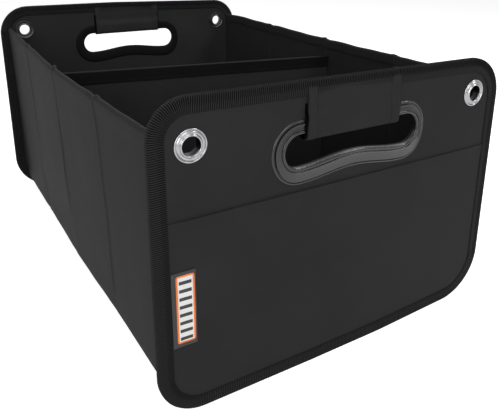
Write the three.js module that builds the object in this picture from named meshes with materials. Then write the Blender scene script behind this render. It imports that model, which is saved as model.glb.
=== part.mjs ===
// Folding trunk organizer: two bound end panels with handles, two folding side walls,
// a divider across the middle and a floor in two halves. Millimetres, +Z up, the long way along Y,
// origin at the bottom centre of the box. It stands on the lower edges of its end panels.

import * as THREE from 'three';

// Overall sizes of the box; the length is measured over the bindings
const LENGTH = 500;
const WIDTH = 340;
const HEIGHT = 250;

// Cloth, tape and boards
const CLOTH = 0.6;
const TAPE = 0.8;
const PANEL_BOARD = 2.4;
const WALL_BOARD = 1.5;
const FLOOR_BOARD = 2.4;
const DIVIDER_BOARD = 2;
const CLEARANCE = 0.3;

// End panels
const BINDING_WIDTH = 12;
const BINDING_BEVEL = 0.8;
const POCKET_FROM_TOP = 86;
const CORNER_STEPS = 6;

// The end panels are sewn by hand and not quite square: they widen a little towards the floor, and
// their top edges sag to the right. Left and right are as seen from the front of the box
const FRONT_LOW_LEFT_RISE = 2;
const FRONT_LOW_RIGHT_RISE = 5.5;
const FRONT_LOW_RIGHT_SPREAD = 4;
const FRONT_TOP_RIGHT_LEAN = 5.2;
const FRONT_TOP_RIGHT_SAG = 3.2;
const FRONT_FOOT_LEFT = 30;
const FRONT_FOOT_RIGHT = 45;
const BACK_LOW_LEFT_SPREAD = 3.2;
const BACK_TOP_SAG = 4.7;
const BACK_TOP_SAGS_FROM = 20;
const SHOULDER_RADIUS = 400;
const FRONT_LOW_LEFT_RADIUS = 38;
const FRONT_LOW_RIGHT_RADIUS = 44;
const FRONT_TOP_RIGHT_RADIUS = 38;
const FRONT_TOP_LEFT_RADIUS = 30;
const BACK_LOW_LEFT_RADIUS = 45;
const BACK_LOW_RIGHT_RADIUS = 38;
const BACK_TOP_RIGHT_RADIUS = 34;
const BACK_TOP_LEFT_RADIUS = 36;

// Woven label on the front pocket, beside the binding
const LABEL_WIDTH = 18.5;
const LABEL_HEIGHT = 61.5;
const LABEL_LOW = 64.5;
const LABEL_THICKNESS = 0.5;

// Handle opening: straight on top, round at the ends, with a low wave along its lower edge
const HANDLE_WIDTH = 131;
const HANDLE_HEIGHT = 26;
const HANDLE_FROM_TOP = 41;
const HANDLE_WAVE = 5;
const HANDLE_END_STEPS = 8;
const HANDLE_WAVE_STEPS = 9;

// Moulded frame round the handle opening; its lip is on the outer half only
const FRAME_END_BAND = 9.5;
const FRAME_TOP_BAND = 11;
const FRAME_LOWER_BAND = 14;
const FRAME_SLEEVE = 1.6;
const FRAME_LIP_WIDTH = 4.4;
const FRAME_LIP_PROUD = 1.6;
const FRAME_BAND_PROUD = 1;
const FRAME_RIM_WIDTH = 2.4;
const FRAME_RIM_PROUD = 1.5;

// Grip wrap folded over the bar between the handle opening and the top edge. It is sewn a little
// to the left of the middle, and the front one hangs lower than the back one
const WRAP_WIDTH = 90;
const WRAP_SHIFT = -2.5;
const WRAP_CLOTH = 1.2;
const WRAP_TUCK = 8;
const WRAP_SLACK_FRONT = 4.5;
const WRAP_SLACK_BACK = 0.6;
const WRAP_LEAN = 4.5;

// Eyelets in the upper corners
const EYELET_DIAMETER = 24;
const EYELET_BORE = 12;
const EYELET_WALL = 0.8;
const EYELET_DOME = 2.2;
const EYELET_RIM = 0.6;
const EYELET_FROM_SIDE = 30.5;
const EYELET_FROM_TOP = 34;
const FRONT_RIGHT_EYELET_SHIFT = -5.2;
const BACK_LEFT_EYELET_SHIFT = -1.5;
const BACK_LEFT_EYELET_RISE = 4.5;
const EYELET_STEPS = 16;
const WASHER_DIAMETER = 22;
const WASHER_THICKNESS = 1;
const CLINCH_WIDTH = 2.2;

// Side walls: they lean out towards the middle, and fold at three creases. Each drop is the
// distance of the wall's top edge below the top of the end panels
const WALL_LOW = 20;
const WALL_DROP_AT_ENDS = 26;
const WALL_DROP_AT_QUARTERS = 27.5;
const WALL_DROP_AT_MIDDLE = 29;
const WALL_INSET_AT_ENDS = 9;
const WALL_INSET_AT_QUARTERS = 5.5;
const WALL_INSET_AT_MIDDLE = 3;
const WALL_HEM = 10;
const FOLD_SPACING = 124;
const FOLD_DEPTH = 1.2;
const FOLD_HALF_WIDTH = 3;
const BOARD_FROM_FOLD = 4;
const BOARD_FROM_EDGE = 4;

// Floor halves
const FLOOR_GAP = 2;
const FLOOR_BOARD_INSET = 3;

// Divider: it stands slightly askew, and its top edge drops further at the right end
const DIVIDER_TURN = THREE.MathUtils.degToRad(-2.8);
const DIVIDER_DROP_LEFT = 38.5;
const DIVIDER_DROP_RIGHT = 48;
const DIVIDER_HEM = 13;
const DIVIDER_BOARD_INSET = 3;
const DIVIDER_HEM_BEVEL = 0.8;

// Layers of an end panel, counted from the middle of its board outwards
const boardFace = PANEL_BOARD / 2;
const coverFace = boardFace + CLOTH;
const pocketFace = coverFace + CLOTH;
const bindingFace = pocketFace + TAPE;
const panelMiddle = LENGTH / 2 - bindingFace;
const coreInset = TAPE + CLEARANCE;

// Edges of the handle opening and the pocket's mouth, set from the top of the panel
const handleHigh = HEIGHT - HANDLE_FROM_TOP;
const handleLow = handleHigh - HANDLE_HEIGHT;
const pocketTop = HEIGHT - POCKET_FROM_TOP;

// Layers of a side wall, counted from its outer face inwards
const wallBoardOuter = CLOTH + CLEARANCE;
const wallBoardInner = wallBoardOuter + WALL_BOARD;
const liningOuter = wallBoardInner + CLEARANCE;
const liningInner = liningOuter + CLOTH;
const hemOuter = liningInner + CLEARANCE;
const hemInner = hemOuter + CLOTH;
const wallEnd = panelMiddle - bindingFace - CLEARANCE;

// Levels of the floor
const floorBoardLow = WALL_LOW + CLOTH;
const floorBoardHigh = floorBoardLow + FLOOR_BOARD;
const floorHigh = floorBoardHigh + CLOTH;

const clothMaterial = material(0x2c2c2e, 0.85, 0);
const liningMaterial = material(0x232325, 0.9, 0);
const tapeMaterial = material(0x262628, 0.8, 0);
const boardMaterial = material(0x6d675c, 0.9, 0);
const plasticMaterial = material(0x3c3c3e, 0.45, 0);
const metalMaterial = material(0xd4d5d8, 0.2, 1);
const labelMaterial = material(0xe2712a, 0.7, 0);

/** One finish of the organizer. */
function material(color, roughness, metalness) {
  return new THREE.MeshStandardMaterial({ color, roughness, metalness });
}

/** A named piece placed at (x, y, z) in its group. */
function piece(name, geometry, finish, x = 0, y = 0, z = 0) {
  const mesh = new THREE.Mesh(geometry, finish);
  mesh.name = name;
  mesh.position.set(x, y, z);
  return mesh;
}

/** Turns a closed surface so that its faces point out of the solid. */
function facingOut(geometry) {
  const corner = [new THREE.Vector3(), new THREE.Vector3(), new THREE.Vector3()];
  const index = geometry.getIndex().array;
  const position = geometry.getAttribute('position');
  let volume = 0;
  for (let i = 0; i < index.length; i += 3) {
    corner.forEach((point, j) => point.fromBufferAttribute(position, index[i + j]));
    volume += corner[0].dot(corner[1].clone().cross(corner[2]));
  }
  if (volume < 0) {
    index.reverse();
  }
  return geometry;
}

/**
 * A solid through a row of cross-sections, each a closed outline with the same number of points.
 * A ring joins its last section to its first; otherwise flat caps, drawn by flatten, close the ends.
 */
function loft(sections, flatten = null) {
  const count = sections[0].length;
  const isRing = flatten === null;
  const positions = sections.flat().flatMap((point) => [point.x, point.y, point.z]);
  const indices = [];
  const spans = isRing ? sections.length : sections.length - 1;
  for (let i = 0; i < spans; i += 1) {
    const here = i * count;
    const next = ((i + 1) % sections.length) * count;
    for (let j = 0; j < count; j += 1) {
      const k = (j + 1) % count;
      indices.push(here + j, here + k, next + k);
      indices.push(here + j, next + k, next + j);
    }
  }
  if (!isRing) {
    const outline = sections[0].map(flatten);
    const turnsBack = THREE.ShapeUtils.isClockWise(outline);
    const last = (sections.length - 1) * count;
    const contour = turnsBack ? outline.slice().reverse() : outline;
    const place = (i) => (turnsBack ? count - 1 - i : i);
    for (const [a, b, c] of THREE.ShapeUtils.triangulateShape(contour, [])) {
      const [p, q, r] = turnsBack ? [place(c), place(b), place(a)] : [a, b, c];
      indices.push(r, q, p);
      indices.push(last + p, last + q, last + r);
    }
  }
  const geometry = new THREE.BufferGeometry();
  geometry.setAttribute('position', new THREE.Float32BufferAttribute(positions, 3));
  geometry.setIndex(indices);
  return facingOut(geometry);
}

/** A flat plate: an outline in X and Z with holes, between two levels of Y. */
function uprightPlate(outline, holes, near, far) {
  const geometry = extruded(outline, holes);
  const position = geometry.getAttribute('position');
  for (let i = 0; i < position.count; i += 1) {
    const level = position.getZ(i) > 0.5 ? near : far;
    position.setXYZ(i, position.getX(i), level, position.getY(i));
  }
  return geometry;
}

/** A flat plate: an outline in X and Y, between two levels of Z. */
function levelPlate(outline, low, high) {
  const geometry = extruded(outline, []);
  const position = geometry.getAttribute('position');
  for (let i = 0; i < position.count; i += 1) {
    position.setZ(i, position.getZ(i) > 0.5 ? high : low);
  }
  return geometry;
}

/** An outline with holes, extruded by one unit along Z. */
function extruded(outline, holes) {
  const shape = new THREE.Shape(outline);
  shape.holes = holes.map((hole) => new THREE.Path(hole));
  const geometry = new THREE.ExtrudeGeometry(shape, { depth: 1, bevelEnabled: false });
  geometry.deleteAttribute('normal');
  geometry.deleteAttribute('uv');
  return geometry;
}

/** Places along a quarter arc, each with its outward direction, counterclockwise in X and Z. */
function arcPlaces(centreX, centreZ, radius, fromDegrees, steps) {
  return Array.from({ length: steps + 1 }, (_, i) => {
    const angle = THREE.MathUtils.degToRad(fromDegrees + (90 * i) / steps);
    const out = new THREE.Vector2(Math.cos(angle), Math.sin(angle));
    return { at: new THREE.Vector2(centreX, centreZ).addScaledVector(out, radius), out };
  });
}

/** Corners [x, z, radius] of an end panel's outer edge, counterclockwise in its own X and Z. */
function panelCorners(facing) {
  const side = WIDTH / 2;
  const back = [
    [-side - BACK_LOW_LEFT_SPREAD, 0, BACK_LOW_LEFT_RADIUS],
    [side, 0, BACK_LOW_RIGHT_RADIUS],
    [side, HEIGHT - BACK_TOP_SAG, BACK_TOP_RIGHT_RADIUS],
    [-BACK_TOP_SAGS_FROM, HEIGHT, SHOULDER_RADIUS],
    [-side, HEIGHT, BACK_TOP_LEFT_RADIUS],
  ];
  const front = [
    [-side, FRONT_LOW_LEFT_RISE, FRONT_LOW_LEFT_RADIUS],
    [-FRONT_FOOT_LEFT, 0, SHOULDER_RADIUS],
    [FRONT_FOOT_RIGHT, 0, SHOULDER_RADIUS],
    [side + FRONT_LOW_RIGHT_SPREAD, FRONT_LOW_RIGHT_RISE, FRONT_LOW_RIGHT_RADIUS],
    [side - FRONT_TOP_RIGHT_LEAN, HEIGHT - FRONT_TOP_RIGHT_SAG, FRONT_TOP_RIGHT_RADIUS],
    [-side, HEIGHT, FRONT_TOP_LEFT_RADIUS],
  ];
  return facing > 0 ? back : front.map(([x, z, radius]) => [-x, z, radius]).reverse();
}

/** Unit direction to the right of the way from one corner to another. */
function rightOf([fromX, fromZ], [toX, toZ]) {
  return new THREE.Vector2(toZ - fromZ, fromX - toX).normalize();
}

/** Outline of an end panel's boards and covers, inside the binding: rounded corners and edges. */
function panelPlaces(facing) {
  const corners = panelCorners(facing);
  return corners.flatMap((corner, i) => {
    const before = corners[(i + corners.length - 1) % corners.length];
    const after = corners[(i + 1) % corners.length];
    const first = rightOf(before, corner);
    const last = rightOf(corner, after);
    const [x, z, radius] = corner;
    const inwards = radius / (1 + first.dot(last));
    const centre = new THREE.Vector2(x, z).addScaledVector(first, -inwards)
      .addScaledVector(last, -inwards);
    const sweep = Math.atan2(first.cross(last), first.dot(last));
    const steps = Math.ceil((CORNER_STEPS * sweep) / (Math.PI / 2) - 0.5) || 1;
    return Array.from({ length: steps + 1 }, (_, k) => {
      const out = first.clone().rotateAround(new THREE.Vector2(), (sweep * k) / steps);
      return { at: centre.clone().addScaledVector(out, radius - coreInset), out };
    });
  });
}

/** The part of a closed outline below a height, cut straight across there. */
function below(outline, level) {
  return outline.flatMap((point, i) => {
    const next = outline[(i + 1) % outline.length];
    const kept = point.y < level ? [point] : [];
    const crosses = (point.y < level) !== (next.y < level);
    const share = (level - point.y) / (next.y - point.y);
    return crosses ? [...kept, point.clone().lerp(next, share)] : kept;
  });
}

/** Height of the panel's top edge at x, on the outline of its covers. */
function topEdgeAt(outline, x) {
  const heights = outline.flatMap((point, i) => {
    const next = outline[(i + 1) % outline.length];
    const crosses = (point.x <= x) !== (next.x <= x);
    return crosses ? [THREE.MathUtils.mapLinear(x, point.x, next.x, point.y, next.y)] : [];
  });
  return Math.max(...heights);
}

/** Edge of the handle opening: two round ends, a straight top and a wave below. */
function handlePlaces() {
  const radius = HANDLE_HEIGHT / 2;
  const middle = handleLow + radius;
  const endX = HANDLE_WIDTH / 2 - radius;
  const quarter = HANDLE_END_STEPS / 2;
  const places = [
    ...arcPlaces(endX, middle, radius, -90, quarter),
    ...arcPlaces(endX, middle, radius, 0, quarter).slice(1),
    ...arcPlaces(-endX, middle, radius, 90, quarter),
    ...arcPlaces(-endX, middle, radius, 180, quarter).slice(1),
  ];
  for (let i = 1; i < HANDLE_WAVE_STEPS; i += 1) {
    const x = endX * ((2 * i) / HANDLE_WAVE_STEPS - 1);
    const phase = (Math.PI * x) / endX;
    const rise = (HANDLE_WAVE * (1 + Math.cos(phase))) / 2;
    const slope = (-HANDLE_WAVE * Math.PI * Math.sin(phase)) / (2 * endX);
    places.push({
      at: new THREE.Vector2(x, handleLow + rise),
      out: new THREE.Vector2(slope, -1).normalize(),
    });
  }
  return places;
}

/** The outline that runs a distance outside the places of an edge. */
function outlineOf(places, distance = 0) {
  return places.map(({ at, out }) => at.clone().addScaledVector(out, distance));
}

/** A ring that carries a profile of [distance outwards, level of Y] along an edge. */
function ringAlong(places, profileAt) {
  return loft(places.map(({ at, out }) => profileAt(out).map(([distance, level]) => {
    const point = at.clone().addScaledVector(out, distance);
    return new THREE.Vector3(point.x, level, point.y);
  })));
}

/** A round hole's outline at (x, z). */
function roundHole(x, z, radius) {
  return Array.from({ length: EYELET_STEPS }, (_, i) => {
    const angle = (2 * Math.PI * i) / EYELET_STEPS;
    return new THREE.Vector2(x + radius * Math.cos(angle), z + radius * Math.sin(angle));
  });
}

/** The binding: tape folded round the panel's edge, over the cloth on both faces. */
function bindingGeometry(places) {
  const legEnd = coreInset - BINDING_WIDTH;
  const inside = CLEARANCE;
  const outside = CLEARANCE + TAPE;
  return ringAlong(places, () => [
    [legEnd, bindingFace],
    [outside - BINDING_BEVEL, bindingFace],
    [outside, bindingFace - BINDING_BEVEL],
    [outside, BINDING_BEVEL - bindingFace],
    [outside - BINDING_BEVEL, -bindingFace],
    [legEnd, -bindingFace],
    [legEnd, -pocketFace],
    [inside, -pocketFace],
    [inside, pocketFace],
    [legEnd, pocketFace],
  ]);
}

/** Half of the moulded handle frame: a sleeve in the opening and a shaped band on one face. */
function handleFrameGeometry(face) {
  return ringAlong(handlePlaces(), (out) => {
    const sideBand = out.y > 0 ? FRAME_TOP_BAND : FRAME_LOWER_BAND;
    const band = Math.hypot(FRAME_END_BAND * out.x, sideBand * out.y);
    const lipEnd = FRAME_LIP_WIDTH;
    const lipProud = face > 0 ? FRAME_LIP_PROUD : FRAME_BAND_PROUD;
    return [
      [0, face * (CLEARANCE / 2)],
      [0, face * (coverFace + FRAME_BAND_PROUD / 2)],
      [lipEnd / 4, face * (coverFace + lipProud)],
      [lipEnd * 0.7, face * (coverFace + lipProud)],
      [lipEnd, face * (coverFace + FRAME_BAND_PROUD)],
      [band - FRAME_RIM_WIDTH, face * (coverFace + FRAME_BAND_PROUD)],
      [band - FRAME_RIM_WIDTH * 0.7, face * (coverFace + FRAME_RIM_PROUD)],
      [band - FRAME_RIM_WIDTH * 0.2, face * (coverFace + FRAME_RIM_PROUD)],
      [band, face * coverFace],
      [FRAME_SLEEVE, face * coverFace],
      [FRAME_SLEEVE, face * (CLEARANCE / 2)],
    ];
  });
}

/** Outline in Y and Z of cloth folded over an edge, the same on both sides of the middle. */
function foldedOver(outerHalf, innerHalf) {
  const mirrored = (half) => half.map(([y, z]) => [-y, z]).reverse();
  return [...outerHalf, ...mirrored(outerHalf), ...mirrored(innerHalf), ...innerHalf];
}

/** The grip wrap: cloth from under the binding on one face, round the bar, to the other face. */
function wrapGeometry(slack, shift, outline) {
  const sides = [shift - WRAP_WIDTH / 2, shift + WRAP_WIDTH / 2];
  const panelTop = Math.min(...sides.map((x) => topEdgeAt(outline, x))) + coreInset;
  const top = panelTop - BINDING_WIDTH + WRAP_TUCK;
  const tapeEdge = panelTop - BINDING_WIDTH - CLEARANCE;
  const frameTop = handleHigh + FRAME_TOP_BAND;
  const inner = coverFace + FRAME_LIP_PROUD + CLEARANCE;
  const outer = inner + WRAP_CLOTH;
  const bottomInner = handleHigh - slack;
  const bottomOuter = bottomInner - WRAP_CLOTH;
  const outerHalf = [
    [pocketFace, top],
    [pocketFace, tapeEdge],
    [coverFace + WRAP_CLOTH, tapeEdge - CLOTH],
    [coverFace + WRAP_CLOTH, frameTop + WRAP_LEAN + WRAP_CLOTH],
    [outer, frameTop + WRAP_CLOTH],
    [outer, bottomOuter + 2 * WRAP_CLOTH],
    [outer - 2 * WRAP_CLOTH, bottomOuter],
  ];
  const innerHalf = [
    [inner - WRAP_CLOTH, bottomInner],
    [inner, bottomInner + WRAP_CLOTH],
    [inner, frameTop + CLEARANCE],
    [coverFace, frameTop + WRAP_LEAN],
    [coverFace, top],
  ];
  const section = foldedOver(outerHalf, innerHalf);
  const sections = sides.map((x) => section.map(([y, z]) => new THREE.Vector3(x, y, z)));
  return loft(sections, (point) => new THREE.Vector2(point.y, point.z));
}

/** A turned piece round the Y axis, from a closed outline of [radius, level]. */
function turned(outline) {
  const points = outline.map(([radius, level]) => new THREE.Vector2(radius, level));
  const geometry = new THREE.LatheGeometry([...points, points[0].clone()], EYELET_STEPS);
  geometry.deleteAttribute('normal');
  geometry.deleteAttribute('uv');
  return facingOut(geometry);
}

/** The eyelet: a domed flange outside, a barrel through the panel and a clinched edge inside. */
function eyeletGeometry() {
  const bore = EYELET_BORE / 2;
  const barrel = bore + EYELET_WALL;
  const flange = EYELET_DIAMETER / 2;
  const dome = coverFace + EYELET_DOME;
  const clinchNear = -(coverFace + WASHER_THICKNESS + CLEARANCE);
  const clinchFar = clinchNear - EYELET_WALL;
  return turned([
    [bore, clinchFar],
    [bore, coverFace + EYELET_WALL],
    [bore + 1.2, dome],
    [bore + 3.4, dome],
    [flange, coverFace + EYELET_RIM],
    [flange, coverFace],
    [barrel, coverFace],
    [barrel, clinchNear],
    [barrel + CLINCH_WIDTH, clinchNear],
    [barrel + CLINCH_WIDTH, clinchFar],
  ]);
}

/** The washer that the eyelet is clinched over, on the inner face. */
function washerGeometry() {
  const hole = EYELET_BORE / 2 + EYELET_WALL + CLEARANCE;
  return turned([
    [hole, -coverFace],
    [WASHER_DIAMETER / 2, -coverFace],
    [WASHER_DIAMETER / 2, -(coverFace + WASHER_THICKNESS)],
    [hole, -(coverFace + WASHER_THICKNESS)],
  ]);
}

/** The woven label lies on the pocket with one end against the binding. */
function labelGeometry() {
  const far = WIDTH / 2 - BINDING_WIDTH - CLEARANCE;
  const near = far - LABEL_WIDTH;
  const outline = [
    new THREE.Vector2(near, LABEL_LOW),
    new THREE.Vector2(far, LABEL_LOW),
    new THREE.Vector2(far, LABEL_LOW + LABEL_HEIGHT),
    new THREE.Vector2(near, LABEL_LOW + LABEL_HEIGHT),
  ];
  return uprightPlate(outline, [], pocketFace, pocketFace + LABEL_THICKNESS);
}

/** Centres of an end panel's two eyelets in its own X and Z. */
function eyeletPlaces(facing) {
  const x = WIDTH / 2 - EYELET_FROM_SIDE;
  const z = HEIGHT - EYELET_FROM_TOP;
  if (facing < 0) {
    return [{ side: 'left', x, z }, { side: 'right', x: -x - FRONT_RIGHT_EYELET_SHIFT, z }];
  }
  return [
    { side: 'left', x: BACK_LEFT_EYELET_SHIFT - x, z: z + BACK_LEFT_EYELET_RISE },
    { side: 'right', x, z },
  ];
}

/** An end panel; its outer face looks along +Y of its group. */
function endPanel(end, facing) {
  const group = new THREE.Group();
  group.position.y = facing * panelMiddle;
  group.rotation.z = facing > 0 ? 0 : Math.PI;

  const barrelHole = EYELET_BORE / 2 + EYELET_WALL + CLEARANCE;
  const places = panelPlaces(facing);
  const outline = outlineOf(places);
  const eyelets = eyeletPlaces(facing);
  const holes = [
    outlineOf(handlePlaces(), FRAME_SLEEVE + CLEARANCE),
    ...eyelets.map(({ x, z }) => roundHole(x, z, barrelHole)),
  ];
  const layer = (near, far) => uprightPlate(outline, holes, near, far);
  const wrapSlack = facing > 0 ? WRAP_SLACK_BACK : WRAP_SLACK_FRONT;
  group.add(
    piece(`${end}_outer_cover`, layer(boardFace, coverFace), clothMaterial),
    piece(`${end}_board`, layer(-boardFace, boardFace), boardMaterial),
    piece(`${end}_inner_cover`, layer(-coverFace, -boardFace), liningMaterial),
    piece(`${end}_binding`, bindingGeometry(places), tapeMaterial),
    piece(
      `${end}_pocket`,
      uprightPlate(below(outline, pocketTop), [], coverFace, pocketFace),
      clothMaterial,
    ),
    piece(`${end}_handle_frame_outer`, handleFrameGeometry(1), plasticMaterial),
    piece(`${end}_handle_frame_inner`, handleFrameGeometry(-1), plasticMaterial),
    piece(
      `${end}_grip_wrap`,
      wrapGeometry(wrapSlack, facing * WRAP_SHIFT, outline),
      clothMaterial,
    ),
  );
  for (const { side, x, z } of eyelets) {
    group.add(
      piece(`${end}_eyelet_${side}`, eyeletGeometry(), metalMaterial, x, 0, z),
      piece(`${end}_eyelet_washer_${side}`, washerGeometry(), metalMaterial, x, 0, z),
    );
  }
  return group;
}

/** A value along a side wall, straight between the ends, the quarter folds and the middle fold. */
function alongWall(y, atEnds, atQuarters, atMiddle) {
  const distance = Math.abs(y);
  if (distance <= FOLD_SPACING) {
    return THREE.MathUtils.mapLinear(distance, 0, FOLD_SPACING, atMiddle, atQuarters);
  }
  return THREE.MathUtils.mapLinear(distance, FOLD_SPACING, wallEnd, atQuarters, atEnds);
}

/** Height of a side wall's top edge at y. */
function wallTop(y) {
  return HEIGHT - alongWall(y, WALL_DROP_AT_ENDS, WALL_DROP_AT_QUARTERS, WALL_DROP_AT_MIDDLE);
}

/** Distance of a side wall's outer face from the middle of the box at y, without its folds. */
function wallFace(y) {
  return WIDTH / 2 - alongWall(y, WALL_INSET_AT_ENDS, WALL_INSET_AT_QUARTERS, WALL_INSET_AT_MIDDLE);
}

/** Places along a side wall, with the depth of the fold there. */
function wallPlaces() {
  const folds = [-FOLD_SPACING, 0, FOLD_SPACING].flatMap((y) => [
    { y: y - FOLD_HALF_WIDTH, depth: 0 },
    { y, depth: FOLD_DEPTH },
    { y: y + FOLD_HALF_WIDTH, depth: 0 },
  ]);
  return [{ y: -wallEnd, depth: 0 }, ...folds, { y: wallEnd, depth: 0 }];
}

/** A layer of a side wall, from an outline of [distance in from the face, height] at each place. */
function wallLayer(places, outlineAt) {
  const sections = places.map(({ y, depth }) => outlineAt(y).map(([inwards, z]) => (
    new THREE.Vector3(wallFace(y) - depth - inwards, y, z)
  )));
  return loft(sections, (point) => new THREE.Vector2(point.x, point.z));
}

/** Outline of a flat layer between two depths and two heights. */
function strip(near, far, low, high) {
  return [[near, low], [far, low], [far, high], [near, high]];
}

/** A side wall on the +X side of its group. */
function sideWall(side, turn) {
  const group = new THREE.Group();
  group.rotation.z = turn;
  const places = wallPlaces();
  const cover = wallLayer(places, (y) => [
    [0, WALL_LOW],
    [0, wallTop(y)],
    [hemInner, wallTop(y)],
    [hemInner, wallTop(y) - WALL_HEM],
    [hemOuter, wallTop(y) - WALL_HEM],
    [hemOuter, wallTop(y) - CLOTH],
    [CLOTH, wallTop(y) - CLOTH],
    [CLOTH, WALL_LOW],
  ]);
  const liningTop = (y) => wallTop(y) - CLOTH - CLEARANCE;
  const lining = wallLayer(places, (y) => strip(liningOuter, liningInner, WALL_LOW, liningTop(y)));
  group.add(
    piece(`${side}_wall_cover`, cover, clothMaterial),
    piece(`${side}_wall_lining`, lining, liningMaterial),
  );

  const edges = [-wallEnd, -FOLD_SPACING, 0, FOLD_SPACING, wallEnd];
  const boardLow = WALL_LOW + BOARD_FROM_EDGE;
  const boardHigh = (y) => wallTop(y) - WALL_HEM - BOARD_FROM_EDGE;
  for (let i = 0; i < edges.length - 1; i += 1) {
    const ends = [edges[i] + BOARD_FROM_FOLD, edges[i + 1] - BOARD_FROM_FOLD];
    const board = wallLayer(
      ends.map((y) => ({ y, depth: 0 })),
      (y) => strip(wallBoardOuter, wallBoardInner, boardLow, boardHigh(y)),
    );
    const fromFront = turn === 0 ? i + 1 : edges.length - 1 - i;
    group.add(piece(`${side}_wall_board_${fromFront}`, board, boardMaterial));
  }
  return group;
}

/** Outline of a floor half on the +Y side, held in from the side walls by inset. */
function floorOutline(inset) {
  const sideAt = (y) => wallFace(y) - FOLD_DEPTH - liningInner - CLEARANCE - inset;
  const right = [FLOOR_GAP / 2 + inset, FOLD_SPACING, wallEnd - inset].map((y) => (
    new THREE.Vector2(sideAt(y), y)
  ));
  const left = right.map((point) => new THREE.Vector2(-point.x, point.y)).reverse();
  return [...right, ...left];
}

/** A floor half on the +Y side of its group: cloth below, a board and a lining on top. */
function floorHalf(end, turn) {
  const group = new THREE.Group();
  group.rotation.z = turn;
  const cloth = floorOutline(0);
  const board = floorOutline(FLOOR_BOARD_INSET);
  group.add(
    piece(`${end}_floor_cover`, levelPlate(cloth, WALL_LOW, floorBoardLow), clothMaterial),
    piece(`${end}_floor_board`, levelPlate(board, floorBoardLow, floorBoardHigh), boardMaterial),
    piece(`${end}_floor_lining`, levelPlate(cloth, floorBoardHigh, floorHigh), liningMaterial),
  );
  return group;
}

/** The divider: two cloth faces and a board, with a hem band folded over the top edge. */
function divider() {
  const group = new THREE.Group();
  const foot = floorHigh + CLEARANCE;
  group.position.z = foot;
  group.rotation.z = DIVIDER_TURN;

  const wallInside = wallFace(0) - FOLD_DEPTH - hemInner - CLEARANCE;
  const half = wallInside / Math.cos(DIVIDER_TURN);
  const skinNear = DIVIDER_BOARD / 2 + CLEARANCE;
  const skinFar = skinNear + CLOTH;
  const bandNear = skinFar + CLEARANCE;
  const bandFar = bandNear + CLOTH;
  const topAt = (x) => {
    const drop = THREE.MathUtils.mapLinear(x, -half, half, DIVIDER_DROP_LEFT, DIVIDER_DROP_RIGHT);
    return HEIGHT - drop - foot;
  };
  const faceOutline = (inset, drop) => [
    new THREE.Vector2(inset - half, inset),
    new THREE.Vector2(half - inset, inset),
    new THREE.Vector2(half - inset, topAt(half - inset) - drop),
    new THREE.Vector2(inset - half, topAt(inset - half) - drop),
  ];
  const skinOutline = faceOutline(0, CLOTH + CLEARANCE);
  const boardOutline = faceOutline(DIVIDER_BOARD_INSET, CLOTH + DIVIDER_BOARD_INSET);
  const bandAt = (x) => {
    const top = topAt(x);
    const low = top - DIVIDER_HEM;
    const outerHalf = [
      [bandFar, low],
      [bandFar, top - DIVIDER_HEM_BEVEL],
      [bandFar - DIVIDER_HEM_BEVEL, top],
    ];
    const innerHalf = [[bandNear, top - CLOTH], [bandNear, low]];
    return foldedOver(outerHalf, innerHalf).map(([y, z]) => new THREE.Vector3(x, y, z));
  };
  const band = loft([bandAt(-half), bandAt(half)], (point) => new THREE.Vector2(point.y, point.z));
  group.add(
    piece('divider_front_cloth', uprightPlate(skinOutline, [], -skinFar, -skinNear), liningMaterial),
    piece('divider_back_cloth', uprightPlate(skinOutline, [], skinNear, skinFar), liningMaterial),
    piece(
      'divider_board',
      uprightPlate(boardOutline, [], -DIVIDER_BOARD / 2, DIVIDER_BOARD / 2),
      boardMaterial,
    ),
    piece('divider_hem_band', band, tapeMaterial),
  );
  return group;
}

const organizer = new THREE.Group();
const frontPanel = endPanel('front', -1);
frontPanel.add(piece('front_label', labelGeometry(), labelMaterial));
organizer.add(
  frontPanel,
  endPanel('back', 1),
  sideWall('right', 0),
  sideWall('left', Math.PI),
  floorHalf('back', 0),
  floorHalf('front', Math.PI),
  divider(),
);

export default organizer;
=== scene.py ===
"""Dresses the folding trunk organizer in cloth, ribbed tape, moulded plastic and plated metal.

Sizes are in millimetres in the row frame, +X to the right seen from the front panel, +Y towards the
back panel and +Z up. Each surface is worked out as whole arrays and written to its mesh in metres.
"""

import logging
import math
from dataclasses import dataclass
from enum import Enum
from typing import Callable

import bpy
import numpy as np
from mathutils import Matrix, Vector


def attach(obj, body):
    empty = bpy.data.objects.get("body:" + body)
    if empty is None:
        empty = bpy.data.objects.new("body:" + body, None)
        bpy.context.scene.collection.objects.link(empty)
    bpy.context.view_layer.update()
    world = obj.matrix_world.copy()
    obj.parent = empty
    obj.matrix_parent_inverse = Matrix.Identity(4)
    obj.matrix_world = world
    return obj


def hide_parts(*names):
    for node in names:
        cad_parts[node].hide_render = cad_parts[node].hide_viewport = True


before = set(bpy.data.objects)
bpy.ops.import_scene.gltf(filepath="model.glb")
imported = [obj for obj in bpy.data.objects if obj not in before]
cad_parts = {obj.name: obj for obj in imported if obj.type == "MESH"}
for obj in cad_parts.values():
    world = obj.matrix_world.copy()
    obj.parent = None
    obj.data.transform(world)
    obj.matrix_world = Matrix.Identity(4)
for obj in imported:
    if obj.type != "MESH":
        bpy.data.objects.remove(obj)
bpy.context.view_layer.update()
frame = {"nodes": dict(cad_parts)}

LOG = logging.getLogger("organizer")
MM = 0.001
BODY = "root"
WEAVE_MAP = "weave"


class Facing(Enum):
    """Which way along Y an end panel's outer side looks."""

    NEGATIVE = -1
    POSITIVE = 1


class Slot(Enum):
    """The record's material slots."""

    CLOTH = "cloth"
    LINING = "lining"
    TAPE = "tape"
    BOARD = "board"
    PLASTIC = "plastic"
    METAL = "metal"
    LABEL = "label"


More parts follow.
